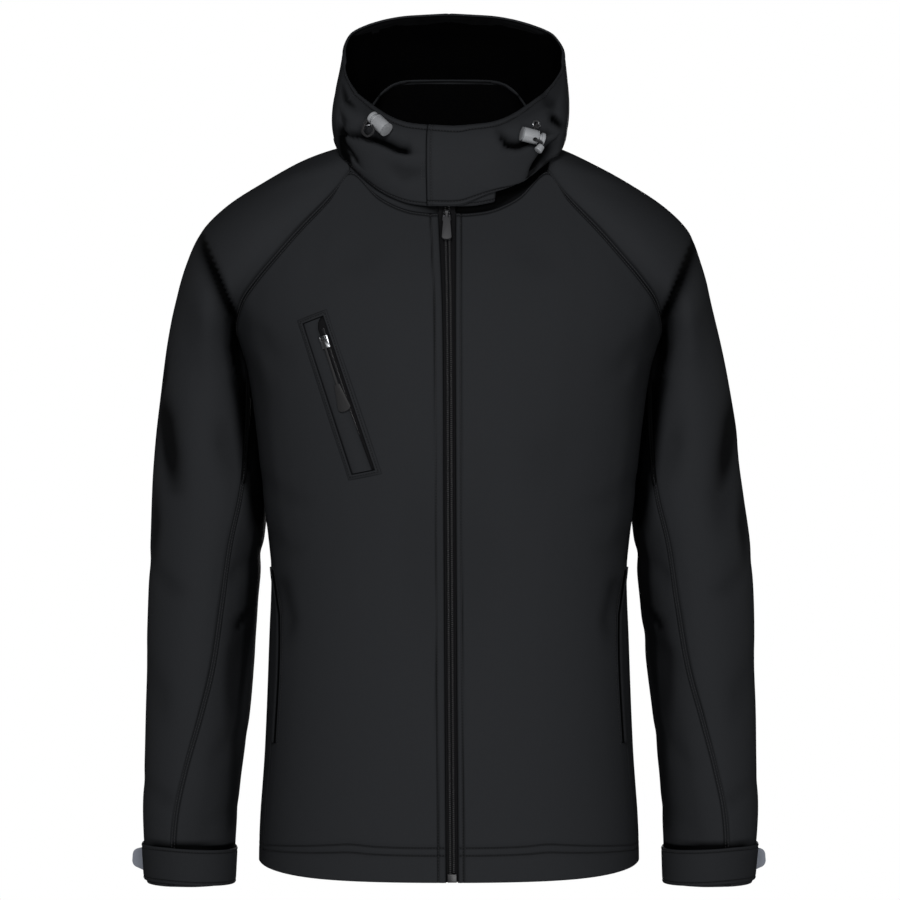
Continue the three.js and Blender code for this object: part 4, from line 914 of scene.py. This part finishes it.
def hood_column(side, q, angle, out, lift):
    def at(away, h):
        return np.array((q[0], q[1], h - ZERO)) + out * (away + lift)
    rim = np.array((side * max(along(RIM, angle, 1), 0), along(RIM, angle, 2), 0))
    if angle == 0:
        rim[0] = q[0]
    wider = 10 * math.exp(-((angle - 94) / 26) ** 2) if side > 0 else 0
    rim[0] += wider
    rim[2] = 749 + (882.5 - 749) * (rim[1] + 99) / (86 + 99) - ZERO
    rim = rim + out * lift
    front_share = float(np.clip((80 - angle) / 30, 0, 1))
    up = 6.5
    if side > 0 and lift > 0:
        up += float(np.interp(angle, [0, 6, 18, 27, 40, 52, 62, 76], [0, 0.5, 7.0, 11.0, 12.0, 9.0, 5.0, 0]))
    line = [at(1.6 + 2.6 * front_share, q[2] + ZERO + up)]
    for k, share in enumerate((0, 0.1, 0.5, 0.9)):
        line.append(at(along(HOOD, angle, 1 + 2 * k) + wider * share, along(HOOD, angle, 2 + 2 * k)))
    smooth = smooth_line([Vector(v) for v in line + [rim]], 12)
    return [np.array(smooth[int(round(t * (len(smooth) - 1)))]) for t in np.linspace(0, 1, 13)]


# Creases of the hood; each trough also darkens the cloth as painted shade.
hood_folds = [
    ([(-36, 722, 0.1), (-43, 722.5, 0.9), (-52, 724.5, 1.0), (-62, 730, 1.0), (-74, 735, 1.0), (-86, 739, 0.8),
      (-98, 740, 0.6)], 10.0, 11.0, "front", 1.8, 1.0),
    ([(-104, 744, 0.9), (-102, 728, 1.0), (-97, 712, 0.7)], 3.0, 17, "front", 3.0, 1.0),
    ([(-88, 711, 0.3), (-94, 719, 1.0), (-101, 728, 1.0)], 4.0, 5, "front", 1.5, 0.9),
    ([(-104, 796, 0.2), (-98, 780, 1.0), (-92, 770, 0.2)], 4.0, 6, "front", 2.0, 0.7),
    ([(-60, 712, 0.2), (-44, 702, 1.0), (-18, 704, 0.1)], 3.0, 8, "front", None, 0.25),
    ([(-106, 768, 0.2), (-104, 756, 1.0), (-106, 742, 0.2)], 3.0, 4, "front", None, 0.6),
    ([(-100, 780, 0.6), (-70, 760, 1.0), (-20, 752, 0.1)], 5.0, 11, "back"),
    ([(-96, 742, 0.5), (-60, 738, 1.0), (-8, 742, 0.2)], 6.0, 10, "back"),
    ([(-84, 812, 0.4), (-50, 800, 1.0), (-20, 806, 0.1)], 3.0, 11, "back"),
    ([(-112, 800, 0.3), (-112, 770, 1.0), (-108, 740, 0.3)], 3.0, 12, "back"),
]
# Creases of the right hood; each trough also darkens the cloth as painted shade.
right_hood_folds = [
    ([(94, 739, 0.7), (85, 735.5, 0.8), (69, 727.5, 1.0), (57, 729, 1.0), (50, 738, 0.5), (46, 746, 0.1)],
     8.0, 11.0, "front", 2.4, 1.0),
    ([(79, 699, 0.5), (84, 711, 1.0), (93, 724, 1.0), (101, 734, 0.3)], 8.0, 11.0, "front", 2.2, 1.0),
    ([(92, 706, 0.4), (98, 712, 1.0), (103, 718, 0.2)], 5.0, 9.0, "front", 2.4, 1.0),
    ([(100, 764, 0.3), (104, 758, 1.0), (110, 752, 0.6)], 5.0, 5, "front", None, 1.0),
    ([(88, 792, 0.3), (98, 776, 1.0), (104, 764, 0.3)], 3.0, 6, "front", None, 0.4),
    ([(102, 776, 0.6), (74, 764, 1.0), (26, 750, 0.1)], 4.6, 11, "back"),
    ([(94, 744, 0.5), (58, 736, 1.0), (6, 740, 0.2)], 6.0, 10, "back"),
    ([(80, 816, 0.4), (46, 804, 1.0), (14, 810, 0.1)], 3.2, 11, "back"),
]
# Stitching of the small fastener patch that shows beside the chin flap: (x, height).
PATCH = (-19, 712.5), (-26.5, 712.5), (-26.5, 697.5), (-19, 697.5)
for side, word in ((-1, "left"), (1, "right")):
    own = [(side, *c) for c in (left_neck if side < 0 else right_neck)]
    other = [(-side, *c) for c in (right_neck if side < 0 else left_neck)]
    reach = other[2:0:-1] if side < 0 else other[1:2]
    lines = []
    for s, q, angle, out in reach + own:
        rise = along(FLAP_RISE, min(angle if s == side else -angle, 76), 1) * FLAP_LIFT if side > 0 else 0
        lines.append(hood_column(s, q, angle, out, rise))
    grid = np.array(lines).transpose(1, 0, 2)
    edges = {"t": [7.0], "b": [5.0], "l": [5.0]} if side > 0 else {"t": [7.0], "b": [3.0]}
    round_to_back = fine(170, 330, [5.0])
    casing = np.interp(round_to_back, (0, 0.70, 0.80, 0.86, 0.90, 0.94, 1), (2.5, 2.5, 12, 17, 13, 20, 15))
    o, p, n = cloth(
        "hood_shell_" + word, grid, fine(84, 150, [edges["b"][0]], [7.0]), round_to_back, away_from(0, 0),
        hood_folds if side < 0 else right_hood_folds, edges, {"t": casing, "b": 5}, "r", back_of_hem=facing)
    sewn(o, "hood_" + word)
    rim_run = edge_line(p, n, "t", 7.0)
    if side > 0:
        foot_run = part_of(edge_line(p, n, "b", 5.0), lambda x, y: y < -40 and x < 66)
        flap = [edge_line(p, n, "l", 5.0), foot_run]
        topstitch("hood_stitching_right", flap + [rim_run])
    else:
        line, outs = [], []
        for (x0, h0), (x1, h1) in zip(PATCH, PATCH[1:]):
            for k in range(8):
                x, h = x0 + (x1 - x0) * k / 8, h0 + (h1 - h0) * k / 8
                away = (p[..., 0] - x) ** 2 + (p[..., 2] + ZERO - h) ** 2 + (p[..., 1] > 0) * 1e6
                i, j = np.unravel_index(np.argmin(away), away.shape)
                line.append(p[i, j] * (0, 1, 0) + (x, 0, h - ZERO))
                outs.append(n[i, j])
        topstitch("hood_stitching_left", [rim_run, edge_line(p, n, "b", 3.0)])
        topstitch("fastener_patch_stitching", [(np.array(line), np.array(outs))], 2.4)

# Front zip: two strips of woven tape behind the gap between the fronts, and on them the closed
# rows of moulded teeth, a slider with a stem and rubber tab, and the box at the foot.
tape_cloth = patterned(
    ("zip_tape_weave", (0.005, 0.005, 0.006), 0.8), ((0.0025, 0.0025, 0.003), (0.0075, 0.0075, 0.0085)),
    0.5, 0.0003,
    "Wave", "UV", 0.1, bands_direction="X", Scale=420.0, Distortion=0.3)
zip_plastic = moulded("zip_teeth", (0.016, 0.016, 0.018), 0.35)
gunmetal = patterned(
    ("gunmetal", (0.060, 0.060, 0.065), 0.34, 1.0), ((0.045, 0.045, 0.050), (0.085, 0.085, 0.090)),
    0.15, 0.00005,
    Scale=300.0, Detail=4.0)
silver = patterned(
    ("silver_metal", (0.45, 0.46, 0.48), 0.30, 1.0), ((0.38, 0.39, 0.41), (0.52, 0.53, 0.55)), 0.15, 0.00005,
    Scale=300.0, Detail=4.0)
dark_rubber = moulded("dark_rubber", (0.034, 0.034, 0.037), 0.55)
black_rubber = moulded("black_rubber", (0.012, 0.012, 0.013), 0.55)
grey_rubber = moulded("grey_rubber", (0.27, 0.29, 0.34), 0.5)


def ribbon(name, rows, lift, thick, mat, deep=None):
    """A strip lying on the fronts: rows of (x, height) from its foot to its head.

    deep gives, from 0 to 1, how much painted shade each column gets."""
    places = np.array([[on_front(x, h, lift)[0] for x, h in row] for row in rows])
    o, row, col = grid_object(name, places)
    set_uv(o.data, places[row, col][:, (0, 2)] / 1000)
    if deep:
        set_painted_shade(o.data, np.array(deep, float)[col])
    o.data.update()
    if o.data.polygons[0].normal.y > 0:
        o.data.flip_normals()
    thicken(o, thick / 1000)
    smooth(o.data)
    o.data.materials.append(mat)
    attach(o, "garment")
    return o


def small_block(size, bevel):
    """One zip tooth about its own middle: along, across and up, in mm."""
    bpy.ops.mesh.primitive_cube_add(size=1)
    block = bpy.context.object
    bpy.ops.transform.resize(value=size)
    bpy.ops.object.transform_apply(location=False, rotation=False, scale=True)
    ease = block.modifiers.new("ease", "BEVEL")
    ease.width, ease.segments = bevel, 1
    bpy.ops.object.modifier_apply(modifier="ease")
    return block


ZIP_FOOT, ZIP_HEAD = 27.0, 690.0
rows = []
for h in np.linspace(HEM + 0.6, 700, 66):
    middle, half = along(ZIP_GAP, h, 1), along(ZIP_GAP, h, 2) + 7.0
    rows.append([(middle + half * k, h) for k in (-1, -0.5, -0.12, 0, 0.12, 0.5, 1)])
tape = ribbon("front_zip_tape", rows, -2.5, 0.8, tape_cloth)
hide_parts("zip_tape")

one_tooth = small_block((0.95, 2.5, 1.7), 0.25)
TOOTH_PITCH = 1.9
teeth = []
for side in (-1, 1):
    heights = np.linspace(ZIP_FOOT, ZIP_HEAD, 160)
    line = np.array([on_front(along(ZIP_GAP, h, 1) + side * 1.75, h, -0.9)[0] for h in heights])
    outs = np.array([on_front(along(ZIP_GAP, h, 1), h)[1] for h in heights])
    spots = along_run(line, outs, TOOTH_PITCH)
    teeth += [(q + forth * (0.25 * side * TOOTH_PITCH), forth, across, up) for q, forth, across, up in spots]
chain = repeated("front_zip_teeth", one_tooth, teeth, zip_plastic)
bpy.data.objects.remove(one_tooth)
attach(chain, "garment")
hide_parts("zip_chain")
hard_copy("zip_bottom_box", "front_zip_box", zip_plastic, 0.0004)
hard_copy("slider_main", "front_zip_slider", gunmetal, 0.0003)
hard_copy("pull_main", "front_zip_pull", dark_rubber, 0.0006, "pull_main_body")

# Chest pocket on the wearer's right: a slanted opening whose turned edge is pressed up round it
# and stitched, a folded welt over most of it, and beside the welt the zip with its slider.
POCKET = np.array([(-93.3, 410.4), (-71.2, 414.8), (-121.2, 563.4), (-140.9, 556.2)], float)


def in_pocket(u, v):
    """A place (x, height) at a share across and a share up the pocket opening."""
    low = POCKET[0] + (POCKET[1] - POCKET[0]) * u
    high = POCKET[3] + (POCKET[2] - POCKET[3]) * u
    return low + (high - low) * v


def pocket_rim(across):
    """The outline of the opening, grown by a distance, as evenly spaced (x, height) places."""
    wide, tall = 21.0, 152.0
    du, dv = across / wide, across / tall
    corners = [(-du, -dv), (1 + du, -dv), (1 + du, 1 + dv), (-du, 1 + dv)]
    places = []
    for (u0, v0), (u1, v1) in zip(corners, corners[1:] + corners[:1]):
        count = 8 if v0 == v1 else 40
        places += [in_pocket(u0 + (u1 - u0) * k / count, v0 + (v1 - v0) * k / count) for k in range(count)]
    return places


rim_rows = [
    # out from the opening, lift, how much painted shade it gets in the fold
    (-0.6, -0.2, 1.0), (-0.2, 0.9, 1.0), (0.2, 1.5, 0.6), (0.9, 1.7, 0.0), (1.8, 1.6, 0.0),
    (2.4, 1.1, 0.9), (3.0, 1.2, 0.2), (3.8, 0.8, 0.0), (4.6, 0.3, 0.3), (5.4, -0.15, 0.5)]
ring = np.array([[on_front(x, h, lift)[0] for x, h in pocket_rim(across)] for across, lift, _ in rim_rows])
count = ring.shape[1]
mesh = bpy.data.meshes.new("chest_pocket_edge")
quads = [(i * count + j, i * count + (j + 1) % count, (i + 1) * count + (j + 1) % count, (i + 1) * count + j)
         for i in range(len(rim_rows) - 1) for j in range(count)]
mesh.from_pydata((ring.reshape(-1, 3) / 1000).tolist(), [], quads)
mesh.materials.append(softshell)
set_painted_shade(mesh, np.repeat([row[2] for row in rim_rows], count))
mesh.uv_layers.new(name="UVMap")
set_uv(mesh, ring.reshape(-1, 3)[:, (0, 2)] / 1000)
smooth(mesh)
mesh.update()
if mesh.polygons[0].normal.y > 0:
    mesh.flip_normals()
pocket_edge = bpy.data.objects.new("chest_pocket_edge", mesh)
bpy.context.collection.objects.link(pocket_edge)
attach(pocket_edge, "garment")
stitched = pocket_rim(2.4)
line = [on_front(x, h, 1.15)[0] for x, h in stitched + stitched[:1]]
outs = [on_front(x, h)[1] for x, h in stitched + stitched[:1]]
topstitch("chest_pocket_stitching", [(np.array(line), np.array(outs))], 2.8)

# How much of the opening the welt covers, from its foot to its head.
WELT_DRAWN = (0, 0.3, 0.5, 0.7, 0.85, 0.93, 0.97, 1), (0.90, 0.84, 0.78, 0.70, 0.63, 0.60, 0.70, 0.92)
rows = []
for v in np.linspace(0.004, 0.996, 70):
    drawn = float(np.interp(v, *WELT_DRAWN))
    rows.append([tuple(in_pocket(share * drawn, v)) for share in (0.0, 0.12, 0.4, 0.7, 0.9, 0.97, 1.0)])
# The welt's edges darken as painted shade.
welt = ribbon("chest_pocket_fold", rows, 1.5, 1.2, softshell, (1.0, 0.1, 0, 0, 0.1, 0.3, 0.9))
bulge = welt.modifiers.new("fold", "BEVEL")
bulge.width, bulge.segments, bulge.limit_method = 0.0006, 3, "ANGLE"
bpy.context.view_layer.objects.active = welt
bpy.ops.object.modifier_apply(modifier="fold")
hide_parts("chest_pocket_welt")
rows = [[tuple(in_pocket(u, v)) for u in (0.25, 0.6, 0.8, 1.0)] for v in np.linspace(0.004, 0.996, 40)]
tape = ribbon("chest_pocket_tape", rows, 0.35, 0.3, tape_cloth)
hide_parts("chest_pocket_zip")
one_tooth = small_block((0.8, 3.0, 0.9), 0.2)
line, outs = [], []
for v in np.linspace(0.02, 0.93, 60):
    q, out = on_front(*in_pocket(0.80, v), 0.8)
    line.append(q)
    outs.append(out)
coil = repeated("chest_pocket_teeth", one_tooth, along_run(line, outs, 1.25), zip_plastic)
bpy.data.objects.remove(one_tooth)
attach(coil, "garment")
hard_copy("chest_slider", "chest_zip_slider", silver, 0.0004)
hard_copy("chest_pull", "chest_zip_pull", black_rubber, 0.0006, "chest_pull_body")

# Side pockets: a long opening in front of each side seam, covered by a narrow welt of the shell cloth, with a
# slit before its far lip that is darkened as painted shade, and a row of stitches beside it.
WELT_SECTION = (
    # degrees in front of the side seam, lift: the welt, the opening (painted dark as shade) and the far lip
    (1.2, 0.5), (1.7, 1.7), (2.6, 2.0), (3.6, 2.0), (4.2, 1.5), (4.5, 0.3), (5.2, 0.3), (5.6, 1.5), (6.2, 0.4))
for side, word in ((-1, "left"), (1, "right")):
    rows, outs = [], []
    for h in np.linspace(146, 318, 50):
        seam = along(SIDE_SEAM, h, 1)
        row, out_row = [], []
        for back_by, lift in WELT_SECTION:
            q = torso_point(side, seam - back_by, h)
            across = torso_point(side, seam - back_by + 1, h) - torso_point(side, seam - back_by - 1, h)
            out = np.cross(across, (0, 0, 1)) * side
            out /= np.linalg.norm(out)
            out = -out if out @ (q * (1, 1, 0)) < 0 else out
            row.append(q + out * lift)
            out_row.append(out)
        rows.append(row)
        outs.append(out_row)
    grid = np.array(rows)
    # Painted shade darkens the opening.
    opening = ([(row[5][0], row[5][2] + ZERO, 1.0) for row in rows[::6]], 0, 1.7, "", None, 1.0)
    o = cloth(
        "side_pocket_welt_" + word, grid, np.linspace(0, 1, 60), np.linspace(0, 1, 33), away_from(0, 0),
        [opening], turn=0, thick=0.0004)[0]
    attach(o, "garment")
    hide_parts("side_pocket_" + word)
    places = [torso_point(side, along(SIDE_SEAM, h, 1) - 7.3, h) for h in np.linspace(144, 322, 40)]
    ways = [outs[0][-1]] * 40
    lifted = np.array([q + w * 0.2 for q, w in zip(places, ways)])
    topstitch("side_pocket_stitching_" + word, [(lifted, np.array(ways))])

# Cuffs: a strap of the shell cloth round the front of each sleeve end, closed by hook and loop
# under the moulded grey tab at its outer end.
STRAP_FOOT, STRAP_HEAD = 6.0, 41.0
for side, word in ((-1, "left"), (1, "right")):
    rows = []
    for h in np.linspace(STRAP_FOOT, STRAP_HEAD, 6):
        ring = sleeve_ring(side, [h] + [along(SLEEVE[::-1], h, k) for k in (1, 2, 3, 4)])
        row = [on_ring(ring, 1, 0.22), on_ring(ring, 1, 0.11)] + [on_ring(ring, 0, k / 16) for k in range(17)]
        rows.append(row + [on_ring(ring, 1, s) for s in (0.95, 0.9, 0.84)])
    grid = np.array(rows)
    centre = (rows[0][2] + rows[0][18]) / 2
    outs = grid_normals(grid, away_from(centre[0], centre[1])(grid))
    grid = grid + outs * 2.7
    grid[..., 2] += 2.6 * np.clip((np.abs(grid[..., 0]) - 240) / 40, -0.7, 1.0)
    # The strap's cloth is darkened a little all over as painted shade.
    o, p, n = cloth(
        "cuff_strap_cloth_" + word, grid, fine(18, 32, [3.0], [3.0]), fine(110, 190, [3.0], [3.0]),
        away_from(centre[0], centre[1]), [([(side * 200, 25, 1), (side * 310, 25, 1)], 0, 45, "", None, 0.12)],
        {"b": [3.0], "t": [3.0]}, turn=0.7, thick=0.0018)
    sewn(o, "cuff_strap_" + word)
    topstitch("cuff_strap_stitching_" + word, [edge_line(p, n, "b", 3.0), edge_line(p, n, "t", 3.0)])
    hard_copy("cuff_tab_" + word, "cuff_tab_rubber_" + word, grey_rubber, 0.0007)

# Hood hardware: a pressed eyelet a side where the cord comes out, and the sprung cord locks.
for word in ("left", "right"):
    hard_copy("eyelet_" + word, "eyelet_ring_" + word, silver, 0.0003)
    hard_copy("lock_" + word, "cord_lock_barrel_" + word, grey_plastic, 0.0006)
    hard_copy("plunger_" + word, "cord_lock_button_" + word, grey_plastic, 0.0006,
              "plunger_" + word + "_body")

# Studio: a plain pale floor far below the hanging jacket, a white surround and soft lamps in front.
bpy.context.scene.view_settings.view_transform = "Standard"
bpy.ops.mesh.primitive_plane_add(size=5, location=(0, 0.5, -1.75))
floor = bpy.context.object
floor.name = "floor"
floor.data.materials.append(procedural("floor_paint", (0.82, 0.82, 0.82), 0.8)[0])
world = bpy.data.worlds.new("white")
world.use_nodes = True
sky = world.node_tree
sky.nodes["Background"].inputs[0].default_value = (1, 1, 1, 1)
seen = node(sky, "ShaderNodeLightPath")
level = node(sky, "ShaderNodeMapRange", To_Min=0.035, To_Max=1.0)
sky.links.new(seen.outputs["Is Camera Ray"], level.inputs["Value"])
sky.links.new(level.outputs[0], sky.nodes["Background"].inputs[1])
bpy.context.scene.world = world
for name, place_at, size, power, aim in (
    ("key", (-0.4, -2.7, 0.9), 0.7, 40, (0, 0, -0.3)), ("fill", (0.6, -3.2, 0.1), 0.7, 18, (0, 0, -0.35)),
    ("low", (0.5, -2.8, -1.0), 0.7, 15, (0, 0, -0.5)), ("rear", (0.3, 3.2, 0.1), 0.9, 34, (0, 0, -0.4)),
    ("left_side", (-2.8, 1.3, 0.3), 0.9, 9, (0, 0, -0.4)),
    ("right_side", (2.8, 1.3, 0.3), 0.9, 9, (0, 0, -0.4))):
    lamp = bpy.data.lights.new(name, "AREA")
    lamp.size, lamp.energy = size, power
    stand = bpy.data.objects.new(name, lamp)
    stand.location = place_at
    stand.rotation_euler = (Vector(aim) - Vector(place_at)).to_track_quat("-Z", "Y").to_euler()
    bpy.context.collection.objects.link(stand)

bpy.data.objects.remove(one_stitch)
